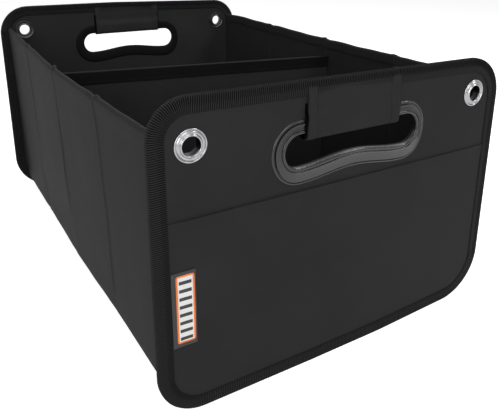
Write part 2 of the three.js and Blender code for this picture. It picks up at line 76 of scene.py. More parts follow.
def smooth_step(value: np.ndarray, low: float, high: float) -> np.ndarray:
    """Rises from 0 at low to 1 at high, level at both ends; low may be above high.

    Args:
        value: Where to work it out.
        low: Value at which the step starts.
        high: Value at which it ends.

    Returns:
        3 t^2 - 2 t^3 of the clamped share t of the way.
    """
    share = np.clip((value - low) / (high - low), 0.0, 1.0)
    return share * share * (3.0 - 2.0 * share)


def grid_quads(rows: int, columns: int, close_rows: bool = False, close_columns: bool = False) -> np.ndarray:
    """Quads of a grid whose point (i, j) has the index i * columns + j.

    Args:
        rows: Number of rows of points.
        columns: Number of points in a row.
        close_rows: Whether the last row joins the first.
        close_columns: Whether each row's last point joins its first.

    Returns:
        An array of four indices for each quad.
    """
    i = np.arange(rows if close_rows else rows - 1)
    j = np.arange(columns if close_columns else columns - 1)
    i, j = np.meshgrid(i, j, indexing="ij")
    below, beside = (i + 1) % rows, (j + 1) % columns
    corners = [i * columns + j, below * columns + j, below * columns + beside, i * columns + beside]
    return np.stack(corners, axis=-1).reshape(-1, 4)


def rounded(outline: np.ndarray, passes: int = 2, closed: bool = True) -> np.ndarray:
    """Cuts the corners of an outline, each pass at a quarter and three quarters of every edge.

    Args:
        outline: Points of the outline, in order.
        passes: How often the corners are cut.
        closed: Whether the outline's last point joins its first.

    Returns:
        The smoother outline; an open one keeps its two end points.
    """
    points = np.asarray(outline, float)
    for _ in range(passes):
        after = np.roll(points, -1, axis=0) if closed else points[1:]
        before = points if closed else points[:-1]
        cut = np.stack([0.75 * before + 0.25 * after, 0.25 * before + 0.75 * after], axis=1)
        cut = cut.reshape(-1, points.shape[1])
        points = cut if closed else np.vstack([points[:1], cut, points[-1:]])
    return points


def resampled(path: np.ndarray, spacing: float) -> np.ndarray:
    """Points at even distances along an open path.

    Args:
        path: Points of the path, in order.
        spacing: The wanted distance between points.

    Returns:
        The points, with the path's two ends among them.
    """
    along = path_lengths(path)
    count = max(2, int(round(along[-1] / spacing)) + 1)
    places = np.linspace(0.0, along[-1], count)
    return np.stack([np.interp(places, along, path[:, k]) for k in range(path.shape[1])], axis=1)


def path_lengths(path: np.ndarray) -> np.ndarray:
    """Distance of each point from the start of its path."""
    return np.concatenate([[0.0], np.cumsum(np.linalg.norm(np.diff(path, axis=0), axis=1))])


@dataclass
class Surface:
    """A surface of quads in millimetres, with a flat cloth coordinate for its weave."""

    points: np.ndarray
    quads: np.ndarray
    weave: np.ndarray

    def normals(self) -> np.ndarray:
        """Unit normal at each point: the sum of the cross products of its quads' diagonals."""
        a, b, c, d = (self.points[self.quads[:, k]] for k in range(4))
        face = np.cross(c - a, d - b)
        total = np.zeros_like(self.points)
        for k in range(4):
            np.add.at(total, self.quads[:, k], face)
        return total / np.maximum(np.linalg.norm(total, axis=1, keepdims=True), 1e-12)

    def thickened(self, thickness: float | np.ndarray) -> "Surface":
        """A closed shell of a thickness, half of it on each side of an open surface.

        Args:
            thickness: One thickness, or one for each point.

        Returns:
            The shell: the surface, its turned copy and a rim of quads along every open edge, with
            its faces outwards.
        """
        count = len(self.points)
        half = np.broadcast_to(np.asarray(thickness, float) / 2.0, (count,))[:, None]
        shift = self.normals() * half
        starts = self.quads.ravel()
        ends = np.roll(self.quads, -1, axis=1).ravel()
        open_edge = ~np.isin(starts * count + ends, ends * count + starts)
        a, b = starts[open_edge], ends[open_edge]
        rim = np.stack([b, a, a + count, b + count], axis=1)
        quads = np.vstack([self.quads, self.quads[:, ::-1] + count, rim])
        points = np.vstack([self.points + shift, self.points - shift])
        return Surface(points, quads, np.vstack([self.weave, self.weave])).facing_out()

    def facing_out(self) -> "Surface":
        """The closed surface with its faces turned outwards, told by the sign of its volume."""
        a, b, c, d = (self.points[self.quads[:, k]] for k in range(4))
        volume = np.einsum("ij,ij->", a, np.cross(b, c)) + np.einsum("ij,ij->", a, np.cross(c, d))
        quads = self.quads if volume > 0 else self.quads[:, ::-1]
        return Surface(self.points, quads, self.weave)

    def joined(self, other: "Surface") -> "Surface":
        """This surface and another one as one mesh."""
        quads = np.vstack([self.quads, other.quads + len(self.points)])
        points = np.vstack([self.points, other.points])
        return Surface(points, quads, np.vstack([self.weave, other.weave]))


def grid_surface(x: np.ndarray, y: np.ndarray, z: np.ndarray, across: np.ndarray, along: np.ndarray
                 ) -> Surface:
    """An open surface on a grid of points, from arrays that broadcast to the grid's shape.

    Args:
        x: X of the points.
        y: Y of the points.
        z: Z of the points.
        across: The first cloth coordinate.
        along: The second cloth coordinate.

    Returns:
        The surface.
    """
    x, y, z, across, along = np.broadcast_arrays(x, y, z, across, along)
    points = np.stack([x, y, z], axis=-1).reshape(-1, 3)
    return Surface(points, grid_quads(*x.shape), np.stack([across, along], axis=-1).reshape(-1, 2))


class Socket:
    """A shader value that can be used in arithmetic; each operation adds one Math node."""

    def __init__(self, desk: "NodeDesk", socket: bpy.types.NodeSocket) -> None:
        """Wraps a node's output socket."""
        self.desk = desk
        self.socket = socket

    def math(self, operation: str, *others: "Socket | float", clamp: bool = False) -> "Socket":
        """A Math node with this value first.

        Args:
            operation: The Math node's operation.
            *others: Its other values.
            clamp: Whether the result is kept between 0 and 1.

        Returns:
            The result.
        """
        return self.desk.math(operation, self, *others, clamp=clamp)

    def __add__(self, other: "Socket | float") -> "Socket":
        """The sum."""
        return self.math("ADD", other)

    __radd__ = __add__

    def __sub__(self, other: "Socket | float") -> "Socket":
        """The difference."""
        return self.math("SUBTRACT", other)

    def __rsub__(self, other: float) -> "Socket":
        """The difference, with this value taken away."""
        return self.desk.math("SUBTRACT", other, self)

    def __mul__(self, other: "Socket | float") -> "Socket":
        """The product."""
        return self.math("MULTIPLY", other)

    __rmul__ = __mul__

    def __truediv__(self, other: "Socket | float") -> "Socket":
        """The quotient."""
        return self.math("DIVIDE", other)

    def sine(self) -> "Socket":
        """The sine of an angle in radians."""
        return self.math("SINE")

    def size(self) -> "Socket":
        """The absolute value."""
        return self.math("ABSOLUTE")

    def at_most(self, other: "Socket | float") -> "Socket":
        """The smaller of two values."""
        return self.math("MINIMUM", other)

    def at_least(self, other: "Socket | float") -> "Socket":
        """The larger of two values."""
        return self.math("MAXIMUM", other)

    def above(self, level: float, softness: float) -> "Socket":
        """A mask: 0 below a level and 1 above it, over a soft edge of the given width."""
        return ((self - level) / softness + 0.5).math("MAXIMUM", 0.0, clamp=True)


Colour = tuple[float, float, float]


class NodeDesk:
    """Makes one material, or the world, out of nodes."""

    def __init__(self, owner: bpy.types.Material | bpy.types.World) -> None:
        """Empties the node tree of a material or world."""
        owner.use_nodes = True
        self.owner = owner
        self.tree = owner.node_tree
        self.tree.nodes.clear()

    @classmethod
    def for_material(cls, name: str) -> "NodeDesk":
        """A desk with a new material."""
        return cls(bpy.data.materials.new(name))

    def node(self, kind: str, settings: dict | None = None, values: dict | None = None,
             output: int | str = 0) -> Socket | None:
        """Adds a node.

        Args:
            kind: The node's type.
            settings: Its properties, set first; stops are a colour ramp's places and colours.
            values: A value or link for each named or numbered input.
            output: Name or number of the output that is wanted.

        Returns:
            That output, or nothing where the node has none.
        """
        made = self.tree.nodes.new(kind)
        for name, value in (settings or {}).items():
            if name == "stops":
                ramp = made.color_ramp
                while len(ramp.elements) < len(value):
                    ramp.elements.new(1.0)
                for element, (place, colour) in zip(ramp.elements, value):
                    element.position = place
                    element.color = (*colour, 1.0)
            else:
                setattr(made, name, value)
        for name, value in (values or {}).items():
            if isinstance(value, Socket):
                self.tree.links.new(value.socket, made.inputs[name])
            else:
                made.inputs[name].default_value = value
        return Socket(self, made.outputs[output]) if made.outputs else None

    def math(self, operation: str, *values: Socket | float, clamp: bool = False) -> Socket:
        """A Math node of up to three values."""
        settings = {"operation": operation, "use_clamp": clamp}
        return self.node("ShaderNodeMath", settings, dict(enumerate(values)))

    def mix(self, factor: Socket | float, first: Socket | Colour, second: Socket | Colour) -> Socket:
        """A colour between two colours."""
        values = {0: factor}
        for place, colour in ((6, first), (7, second)):
            values[place] = colour if isinstance(colour, Socket) else (*colour, 1.0)
        return self.node("ShaderNodeMix", {"data_type": "RGBA"}, values, output=2)

    def noise(self, place: Socket, scale: float, detail: float = 2.0, roughness: float = 0.5) -> Socket:
        """Smooth noise from 0 to 1; scale is in cells for each unit of the place."""
        values = {"Vector": place, "Scale": scale, "Detail": detail, "Roughness": roughness}
        return self.node("ShaderNodeTexNoise", {}, values, output=0)

    def object_place(self) -> Socket:
        """The point of the surface in the row frame, in metres."""
        return self.node("ShaderNodeTexCoord", output="Object")

    def weave_place(self) -> tuple[Socket, Socket]:
        """The two cloth coordinates of the point, in millimetres."""
        place = self.node("ShaderNodeUVMap", {"uv_map": WEAVE_MAP})
        along = self.node("ShaderNodeSeparateXYZ", {}, {0: place}, output=0)
        across = self.node("ShaderNodeSeparateXYZ", {}, {0: place}, output=1)
        return along * 1000.0, across * 1000.0

    def bump(self, height: Socket, distance: float, strength: float) -> Socket:
        """A Bump node; distance is the height in metres of a value of 1."""
        return self.node("ShaderNodeBump", {}, {"Height": height, "Distance": distance, "Strength": strength})

    def finish(self, values: dict) -> bpy.types.Material:
        """Joins a Principled shader with these values to the output.

        Args:
            values: A value or link for each named input; colours have three parts.

        Returns:
            The finished material.
        """
        filled = {
            name: (*value, 1.0) if isinstance(value, tuple) and len(value) == 3 else value
            for name, value in values.items()
        }
        self.node("ShaderNodeOutputMaterial", {}, {0: self.node("ShaderNodeBsdfPrincipled", {}, filled)})
        return self.owner

    def seen_directly(self) -> Socket:
        """1 for a ray from the camera, a mirror-like reflection or glass, and 0 for other light."""
        camera, glossy, through = (
            self.node("ShaderNodeLightPath", output=name)
            for name in ("Is Camera Ray", "Is Glossy Ray", "Is Transmission Ray")
        )
        return camera.at_least(glossy).at_least(through)


@dataclass(frozen=True)
class WovenCloth:
    """Coated plain-weave polyester, with threads a fraction of a millimetre wide."""

    name: str
    colour: Colour
    bright_colour: Colour
    thread: float = 0.55
    relief: float = 0.05
    roughness: float = 0.66
    specular: float = 0.04

    def material(self) -> bpy.types.Material:
        """Threads over and under each other as two crossed half-sine ridges, and cloudy wear.

        Returns:
            The finished material.
        """
        desk = NodeDesk.for_material(self.name)
        along, across = desk.weave_place()
        warp = (along * (math.pi / self.thread)).sine()
        weft = (across * (math.pi / self.thread)).sine()
        over = (warp * weft).above(0.0, 0.6)
        threads = warp.size() * over + weft.size() * (1.0 - over)
        place = desk.object_place()
        clouds = desk.noise(place, 22.0, 3.0, 0.55)
        lint = desk.noise(place, 900.0, 2.0, 0.6)
        tone = (clouds * 0.55 + threads * 0.25 + lint * 0.35 - 0.1).math("MULTIPLY", 1.0, clamp=True)
        colour = desk.mix(tone, self.colour, self.bright_colour)
        roughness = clouds * 0.12 + lint * 0.1 + (self.roughness - 0.11)
        height = threads + lint * 0.5 + clouds * 1.2
        return desk.finish({
            "Base Color": colour,
            "Roughness": roughness,
            "Specular IOR Level": self.specular,
            "Normal": desk.bump(height, self.relief * MM, 0.9),
        })


@dataclass(frozen=True)
class RibbedTape:
    """Grosgrain tape: each rib is modelled, and its fine threads are in the bump."""

    name: str
    # valley and crest are the black tape's colour with painted shade in the rib valleys and a painted
    # highlight on the crests.
    valley: Colour
    lit_crest: Colour
    rib: float
    roughness: float = 0.58
    thread: float = 0.42
    specular: float = 0.07

    def material(self) -> bpy.types.Material:
        """Painted highlight on the rib crests and painted shade in the valleys between them, from the cosine
        of the place along the tape.

        Returns:
            The finished material.
        """
        desk = NodeDesk.for_material(self.name)
        along, across = desk.weave_place()
        # Painted light: the rib crests are lightened and the valleys between them darkened in the colour.
        lit_crest = (along * (2.0 * math.pi / self.rib)).math("COSINE") * 0.5 + 0.5
        threads = (across * (math.pi / self.thread)).sine().size()
        place = desk.object_place()
        lint = desk.noise(place, 700.0, 2.0, 0.6)
        clouds = desk.noise(place, 30.0, 2.0, 0.5)
        sharp = lit_crest * lit_crest * lit_crest
        tone = (sharp * 1.35 + lint * 0.15 + clouds * 0.12 - 0.2).math("MULTIPLY", 1.0, clamp=True)
        return desk.finish({
            "Base Color": desk.mix(tone, self.valley, self.lit_crest),
            "Roughness": lint * 0.2 + (self.roughness - 0.1),
            "Specular IOR Level": self.specular,
            "Normal": desk.bump(threads + lint * 0.6, 0.05 * MM, 0.8),
        })


@dataclass(frozen=True)
class MouldedPlastic:
    """Satin black plastic with a fine spark-eroded grain and faint flow marks."""

    name: str
    colour: Colour
    bright_colour: Colour
    roughness: float = 0.34
    specular: float = 0.41

    def material(self) -> bpy.types.Material:
        """Grain as fine noise in the bump, and slow changes of gloss.

        Returns:
            The finished material.
        """
        desk = NodeDesk.for_material(self.name)
        place = desk.object_place()
        grain = desk.noise(place, 2600.0, 2.0, 0.6)
        flow = desk.noise(place, 60.0, 3.0, 0.5)
        scuffs = desk.noise(place, 340.0, 4.0, 0.7).above(0.62, 0.16)
        return desk.finish({
            "Base Color": desk.mix(flow * 0.7 + scuffs * 0.4, self.colour, self.bright_colour),
            "Roughness": flow * 0.16 + scuffs * 0.12 + (self.roughness - 0.1),
            "Specular IOR Level": self.specular,
            "Normal": desk.bump(grain + flow, 0.03 * MM, 0.6),
        })


@dataclass(frozen=True)
class PlatedMetal:
    """Nickel plate with fine scratches and a little tarnish."""

    name: str
    colour: Colour
    dull_colour: Colour
    roughness: float = 0.16

    def material(self) -> bpy.types.Material:
        """Tarnish as slow noise, and scratches in the roughness and bump.

        Returns:
            The finished material.
        """
        desk = NodeDesk.for_material(self.name)
        place = desk.object_place()
        tarnish = desk.noise(place, 260.0, 3.0, 0.6)
        scratches = desk.noise(place, 3200.0, 2.0, 0.5)
        return desk.finish({
            "Base Color": desk.mix(tarnish, self.colour, self.dull_colour),
            "Metallic": 1.0,
            "Roughness": tarnish * 0.14 + scratches * 0.06 + (self.roughness - 0.05),
            "Normal": desk.bump(scratches, 0.008 * MM, 0.5),
        })


@dataclass(frozen=True)
class SewingThread:
    """Dark twisted polyester thread."""

    name: str
    colour: Colour
    bright_colour: Colour
    twist: float = 0.5
    roughness: float = 0.75
    specular: float = 0.15

    def material(self) -> bpy.types.Material:
        """A twist as slanted sine ridges round the thread.

        Returns:
            The finished material.
        """
        desk = NodeDesk.for_material(self.name)
        along, around = desk.weave_place()
        twist = (along * (math.pi / self.twist) + around).sine().size()
        return desk.finish({
            "Base Color": desk.mix(twist, self.colour, self.bright_colour),
            "Roughness": self.roughness,
            "Specular IOR Level": self.specular,
            "Normal": desk.bump(twist, 0.05 * MM, 0.8),
        })


@dataclass(frozen=True)
class FibreBoard:
    """Grey pressed stiffening board, hidden inside the cloth."""

    name: str
    colour: Colour
    bright_colour: Colour

    def material(self) -> bpy.types.Material:
        """Flecks of fibre as fine noise.

        Returns:
            The finished material.
        """
        desk = NodeDesk.for_material(self.name)
        place = desk.object_place()
        fibre = desk.noise(place, 420.0, 4.0, 0.7)
        return desk.finish({
            "Base Color": desk.mix(fibre, self.colour, self.bright_colour),
            "Roughness": fibre * 0.2 + 0.7,
            "Normal": desk.bump(fibre, 0.1 * MM, 0.6),
        })


@dataclass(frozen=True)
class WovenLabel:
    """A damask label: a dark border, a coloured frame line and plain bars on a pale field."""

    name: str
    width: float
    height: float
    border: Colour = (0.006, 0.006, 0.0065)
    line: Colour = (0.9, 0.21, 0.035)
    field: Colour = (0.86, 0.85, 0.83)
    bar: Colour = (0.01, 0.01, 0.011)
    frame_along: tuple[float, float] = (3.4, 17.4)
    frame_across: tuple[float, float] = (3.0, 58.8)
    frame_radius: float = 1.8
    line_width: float = 1.35
    bar_pitch: float = 6.6
    bar_share: float = 0.42
    thread: float = 0.36

    def material(self) -> bpy.types.Material:
        """Bands of colour by the distance inside a frame with round corners, and bars within it.

        The distance outside a rounded rectangle is the length of the part of (|x| - half width +
        radius, |y| - half height + radius) above zero, less the radius.

        Returns:
            The finished material.
        """
        desk = NodeDesk.for_material(self.name)
        along, across = desk.weave_place()
        beyond = []
        for place, (low, high) in ((along, self.frame_along), (across, self.frame_across)):
            half = (high - low) / 2.0 - self.frame_radius
            beyond.append((place - (high + low) / 2.0).size() - half)
        side, end = (value.at_least(0.0) for value in beyond)
        outside = (side * side + end * end).math("SQRT") + beyond[0].at_least(beyond[1]).at_most(0.0)
        inward = self.frame_radius - outside
        soft = 0.16
        inside_border = inward.above(0.0, soft)
        inside_line = inward.above(self.line_width, soft)
        inside_gap = inward.above(self.line_width + 0.9, soft)
        phase = (across * (2.0 * math.pi / self.bar_pitch)).math("COSINE")
        bars = phase.above(math.cos(math.pi * self.bar_share), 0.12) * inside_gap
        shown = desk.mix(inside_border, self.border, self.line)
        shown = desk.mix(inside_line, shown, self.field)
        shown = desk.mix(bars, shown, self.bar)
        warp = (along * (math.pi / self.thread)).sine().size()
        weft = (across * (math.pi / self.thread)).sine().size()
        lint = desk.noise(desk.object_place(), 1500.0, 2.0, 0.6)
        shaded = desk.mix(warp * weft * 0.5 + lint * 0.25, (0.0, 0.0, 0.0), shown)
        colour = desk.mix(0.86, shaded, shown)
        return desk.finish({
            "Base Color": colour,
            "Roughness": lint * 0.2 + 0.5,
            "Normal": desk.bump(warp + weft + inside_border * 1.5, 0.07 * MM, 0.9),
        })


@dataclass
class Palette:
    """The organizer's finishes, made once."""

    cloth: bpy.types.Material
    lining: bpy.types.Material
    tape: bpy.types.Material
    hem: bpy.types.Material
    # Near-black finish of the strips under the grip wraps' edges: a painted shadow.
    facing: bpy.types.Material
    plastic: bpy.types.Material
    dark_plastic: bpy.types.Material
    metal: bpy.types.Material
    # The next two finishes are darker copies of the nickel plate: painted shade on the eyelets' barrels,
    # clinches and washers.
    dull_metal: bpy.types.Material
    dark_metal: bpy.types.Material
    thread: bpy.types.Material
    board: bpy.types.Material
    label: bpy.types.Material

    @classmethod
    def mixed(cls, rib: float, label_width: float, label_height: float) -> "Palette":
        """Makes every finish.

        Args:
            rib: Distance between the ribs of the tape.
            label_width: Width of the label.
            label_height: Height of the label.

        Returns:
            The palette.
        """
        return cls(
            cloth=WovenCloth("coated_cloth", (0.012, 0.012, 0.0124), (0.03, 0.03, 0.031)).material(),
            lining=WovenCloth("lining_cloth", (0.0125, 0.0125, 0.013), (0.031, 0.031, 0.032)).material(),
            # The tape's two colours carry painted shade in the rib valleys and a painted highlight on the
            # crests.
            tape=RibbedTape("ribbed_tape", (0.0003, 0.0003, 0.0004), (0.025, 0.025, 0.0256), rib,
                            0.7).material(),
            hem=WovenCloth("hem_cloth", (0.003, 0.003, 0.0032), (0.009, 0.009, 0.0093)).material(),
            # Near-black strips under the grip wraps' edges: a painted shadow.
            facing=WovenCloth("painted_shadow_tape", (0.0006, 0.0006, 0.0007), (0.002, 0.002, 0.0021),
                              specular=0.02).material(),
            plastic=MouldedPlastic("moulded_plastic", (0.006, 0.006, 0.0063), (0.012, 0.012, 0.0125),
                                   0.25).material(),
            dark_plastic=MouldedPlastic("dark_plastic", (0.001, 0.001, 0.0011), (0.003, 0.003, 0.0032),
                                        0.7, 0.1).material(),
            metal=PlatedMetal("nickel_plate", (0.38, 0.38, 0.39), (0.18, 0.18, 0.185), 0.13).material(),
            # The next two are darker copies of the nickel plate: painted shade on the eyelets' barrels,
            # clinches and washers.
            dull_metal=PlatedMetal("shaded_nickel", (0.1, 0.1, 0.103), (0.05, 0.05, 0.052), 0.34).material(),
            dark_metal=PlatedMetal("deep_shade_nickel", (0.03, 0.03, 0.031), (0.015, 0.015, 0.0155),
                                   0.3).material(),
            thread=SewingThread("sewing_thread", (0.004, 0.004, 0.0044), (0.012, 0.012, 0.0125)).material(),
            board=FibreBoard("fibre_board", (0.12, 0.11, 0.1), (0.2, 0.19, 0.17)).material(),
            label=WovenLabel("label_weave", label_width, label_height).material(),
        )


def added(name: str, data: bpy.types.ID) -> bpy.types.Object:
    """A new object in the scene, with this mesh, lamp or camera."""
    made = bpy.data.objects.new(name, data)
    bpy.context.scene.collection.objects.link(made)
    return made


def add_piece(name: str, surface: Surface, material: bpy.types.Material, slot: Slot,
              replaces: tuple[str, ...] = (), sharp_degrees: float = 50.0) -> bpy.types.Object:
    """Writes a surface to a new object that rides on the organizer's body.

    Args:
        name: The object's name.
        surface: Its closed surface, in millimetres.
        material: Its finish.
        slot: The record's slot that the finish belongs to; not used.
        replaces: The CAD nodes that it stands for.
        sharp_degrees: Edges that turn by more than this stay sharp.

    Returns:
        The object.
    """
    mesh = bpy.data.meshes.new(name)
    mesh.from_pydata((surface.points * MM).tolist(), [], surface.quads.tolist())
    layer = mesh.uv_layers.new(name=WEAVE_MAP)
    layer.data.foreach_set("uv", (surface.weave[surface.quads.ravel()] * MM).astype(np.float32).ravel())
    mesh.polygons.foreach_set("use_smooth", np.ones(len(mesh.polygons), bool))
    mesh.set_sharp_from_angle(angle=math.radians(sharp_degrees))
    mesh.materials.append(material)
    made = added(name, mesh)
    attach(made, BODY)
    if replaces:
        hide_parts(*replaces)
    LOG.info("%s: %d faces", name, len(mesh.polygons))
    return made


class Group:
    """Pieces whose names start alike and that are turned and moved together."""

    prefix = ""

    def place(self, points: np.ndarray) -> np.ndarray:
        """Points turned and moved to the row frame, which here is where they are."""
        return points

    def put(self, suffix: str, surface: Surface, material: bpy.types.Material, slot: Slot,
            *nodes: str) -> bpy.types.Object:
        """Adds a piece in place.

        Args:
            suffix: The rest of the piece's name.
            surface: Its closed surface, before it is placed.
            material: Its finish.
            slot: The record's slot that the finish belongs to.
            *nodes: The rest of the names of the CAD nodes that it stands for.

        Returns:
            The object.
        """
        moved = Surface(self.place(surface.points), surface.quads, surface.weave)
        replaced = tuple(f"{self.prefix}{node}" for node in nodes)
        return add_piece(f"{self.prefix}{suffix}", moved, material, slot, replaced)


@dataclass
class Outline:
    """A closed line in X and Z, with the angle of its outward normal at each point."""

    points: np.ndarray
    angles: np.ndarray

    def __post_init__(self) -> None:
        """Closes the line and measures it."""
        self.points = np.vstack([self.points, self.points[:1]])
        self.angles = np.append(self.angles, self.angles[0] + 2.0 * math.pi)
        self.along = path_lengths(self.points)

    @property
    def length(self) -> float:
        """Length of the whole line."""
        return float(self.along[-1])

    def at(self, places: np.ndarray) -> tuple[np.ndarray, np.ndarray]:
        """Points and outward normals at distances along the line.

        Args:
            places: The distances.

        Returns:
            Two arrays of X and Z.
        """
        places = np.mod(places, self.length)
        points = np.stack([np.interp(places, self.along, self.points[:, k]) for k in (0, 1)], axis=1)
        angle = np.interp(places, self.along, self.angles)
        return points, np.stack([np.cos(angle), np.sin(angle)], axis=1)

    def nearest(self, points: np.ndarray, distance: float) -> np.ndarray:
        """The nearest points on the line that runs a distance outside this one.

        Args:
            points: Points in X and Z.
            distance: How far outside.

        Returns:
            A point of that line for each point.
        """
        places, normals = self.at(np.arange(0.0, self.length, 0.25))
        line = places + normals * distance
        gaps = np.linalg.norm(points[:, None, :] - line[None, :, :], axis=2)
        return line[np.argmin(gaps, axis=1)]


def arc(centre: tuple[float, float], radius: float, start: float, sweep: float, step: float
        ) -> tuple[np.ndarray, np.ndarray]:
    """Points and normal angles along an arc.

    Args:
        centre: X and Z of its centre.
        radius: Its radius.
        start: Angle at which it starts, in degrees.
        sweep: Angle that it covers, in degrees.
        step: Distance between points.

    Returns:
        The points and the angles in radians.
    """
    count = max(3, int(math.ceil(math.radians(sweep) * max(radius, step) / step)) + 1)
    angles = np.radians(start + np.linspace(0.0, sweep, count))
    points = np.stack([np.cos(angles), np.sin(angles)], axis=1) * radius + np.array(centre)
    return points, angles


@dataclass(frozen=True)
class Corner:
    """A rounded corner of a panel: the arc's centre and radius, and the normals of its two edges."""

    centre: np.ndarray
    radius: float
    first: np.ndarray
    last: np.ndarray

    @property
    def sweep(self) -> float:
        """Angle between the two normals, in radians."""
        return math.atan2(float(np.cross(self.first, self.last)), float(self.first @ self.last))


@dataclass(frozen=True)
class PanelSizes:
    """Sizes of an end panel, as in the part's source, in its own X and Z.

    The corners are X, Z and radius of the binding's outer edge, counterclockwise, and the eyelets
    are the side, X and Z of each.
    """

    corners: tuple[tuple[float, float, float], ...]
    eyelets: tuple[tuple[str, float, float], ...]
    wrap_top: float
    width: float = 340.0
    height: float = 250.0
    tape: float = 0.8
    clearance: float = 0.3
    board_face: float = 1.2
    cover_face: float = 1.8
    pocket_face: float = 2.4
    binding_face: float = 3.2
    binding_width: float = 12.0
    pocket_top: float = 164.0
    handle_width: float = 131.0
    handle_low: float = 183.0
    handle_high: float = 209.0
    handle_wave: float = 5.0
    frame_end_band: float = 9.5
    frame_top_band: float = 11.0
    frame_lower_band: float = 14.0
    frame_sleeve: float = 1.6
    lip_face: float = 3.4
    band_face: float = 2.8
    rim_face: float = 3.3
    wrap_width: float = 90.0
    wrap_shift: float = -2.5
    wrap_cloth: float = 1.2
    eyelet_radius: float = 12.0
    eyelet_bore: float = 6.0

    @property
    def core_inset(self) -> float:
        """Distance of the covers' edge inside the binding's outer edge."""
        return self.tape + self.clearance

    @property
    def handle_ends(self) -> tuple[float, float, float]:
        """Radius of the handle opening's round ends, and the Z and X of their centres."""
        radius = (self.handle_high - self.handle_low) / 2.0
        return radius, (self.handle_high + self.handle_low) / 2.0, self.handle_width / 2.0 - radius

    def rounded_corners(self) -> list[Corner]:
        """The covers' corners: each arc's centre is radius / (1 + n1 . n2) inside both edges."""
        corners = np.array(self.corners)
        ahead = np.roll(corners[:, :2], -1, axis=0) - corners[:, :2]
        ahead /= np.linalg.norm(ahead, axis=1, keepdims=True)
        last = np.stack([ahead[:, 1], -ahead[:, 0]], axis=1)
        first = np.roll(last, 1, axis=0)
        made = []
        for (x, z, radius), n1, n2 in zip(corners, first, last):
            centre = np.array([x, z]) - (n1 + n2) * radius / (1.0 + n1 @ n2)
            made.append(Corner(centre, radius - self.core_inset, n1, n2))
        return made

    def edge(self) -> Outline:
        """The covers' edge: straight lines joined by the corners' arcs."""
        points, angles = [], []
        corners = self.rounded_corners()
        start = math.atan2(corners[0].first[1], corners[0].first[0])
        for corner in corners:
            sweep = corner.sweep
            step = min(0.5, corner.radius * sweep / 3.0)
            here = arc(tuple(corner.centre), corner.radius, math.degrees(start), math.degrees(sweep), step)
            points.append(here[0])
            angles.append(here[1])
            start += sweep
        return Outline(np.vstack(points), np.concatenate(angles))

    def handle(self) -> Outline:
        """The handle opening's edge: round ends, a straight top and a cosine wave below."""
        radius, middle, end = self.handle_ends
        right = arc((end, middle), radius, -90.0, 180.0, 0.3)
        left = arc((-end, middle), radius, 90.0, 180.0, 0.3)
        x = np.linspace(-end, end, 240)[1:-1]
        phase = math.pi * x / end
        rise = self.handle_wave * (1.0 + np.cos(phase)) / 2.0
        slope = -self.handle_wave * math.pi * np.sin(phase) / (2.0 * end)
        wave = np.stack([x, self.handle_low + rise], axis=1)
        wave_angles = np.arctan2(-1.0, slope) + 2.0 * math.pi
        return Outline(
            np.vstack([right[0], left[0], wave]),
            np.concatenate([right[1], left[1], wave_angles]),
        )

    def in_handle(self, x: np.ndarray, z: np.ndarray, distance: float) -> np.ndarray:
        """Whether points lie inside the line that runs a distance outside the opening."""
        radius, middle, end = self.handle_ends
        beyond = np.maximum(np.abs(x) - end, 0.0)
        reach = radius + distance
        half = np.sqrt(np.maximum(reach * reach - beyond * beyond, 0.0))
        wave = np.where(np.abs(x) < end, self.handle_wave * (1.0 + np.cos(math.pi * x / end)) / 2.0, 0.0)
        return (beyond < reach) & (z < middle + half) & (z > middle - half + wave)

    def edge_distance(self, x: np.ndarray, z: np.ndarray) -> np.ndarray:
        """Distance of points inside the covers' edge, negative outside it.

        Args:
            x: Across the panel.
            z: Up the panel.

        Returns:
            The least distance to the straight edges, and in a corner's wedge the distance to its arc.
        """
        x, z = np.broadcast_arrays(x, z)
        distance = np.full(x.shape, np.inf)
        corners = self.rounded_corners()
        for corner in corners:
            across = (x - corner.centre[0]) * corner.last[0] + (z - corner.centre[1]) * corner.last[1]
            distance = np.minimum(distance, corner.radius - across)
        for corner in corners:
            dx, dz = x - corner.centre[0], z - corner.centre[1]
            after_first = corner.first[0] * dz - corner.first[1] * dx > 0.0
            before_last = dx * corner.last[1] - dz * corner.last[0] > 0.0
            in_wedge = after_first & before_last
            distance = np.where(in_wedge, corner.radius - np.hypot(dx, dz), distance)
        return distance

    def span(self) -> tuple[float, float, float, float]:
        """Lowest and highest X, and lowest and highest Z, of the covers' edge."""
        x, z = self.edge().points.T
        return x.min(), x.max(), z.min(), z.max()


@dataclass
class PanelFrame:
    """Places an end panel: its local Y runs outwards from the middle of its board."""

    facing: Facing
    middle: float

    def place(self, points: np.ndarray) -> np.ndarray:
        """Local X, Y and Z turned and moved to the row frame."""
        turn = self.facing.value
        return np.stack([
            points[:, 0] * turn,
            (points[:, 1] + self.middle) * turn,
            points[:, 2],
        ], axis=1)


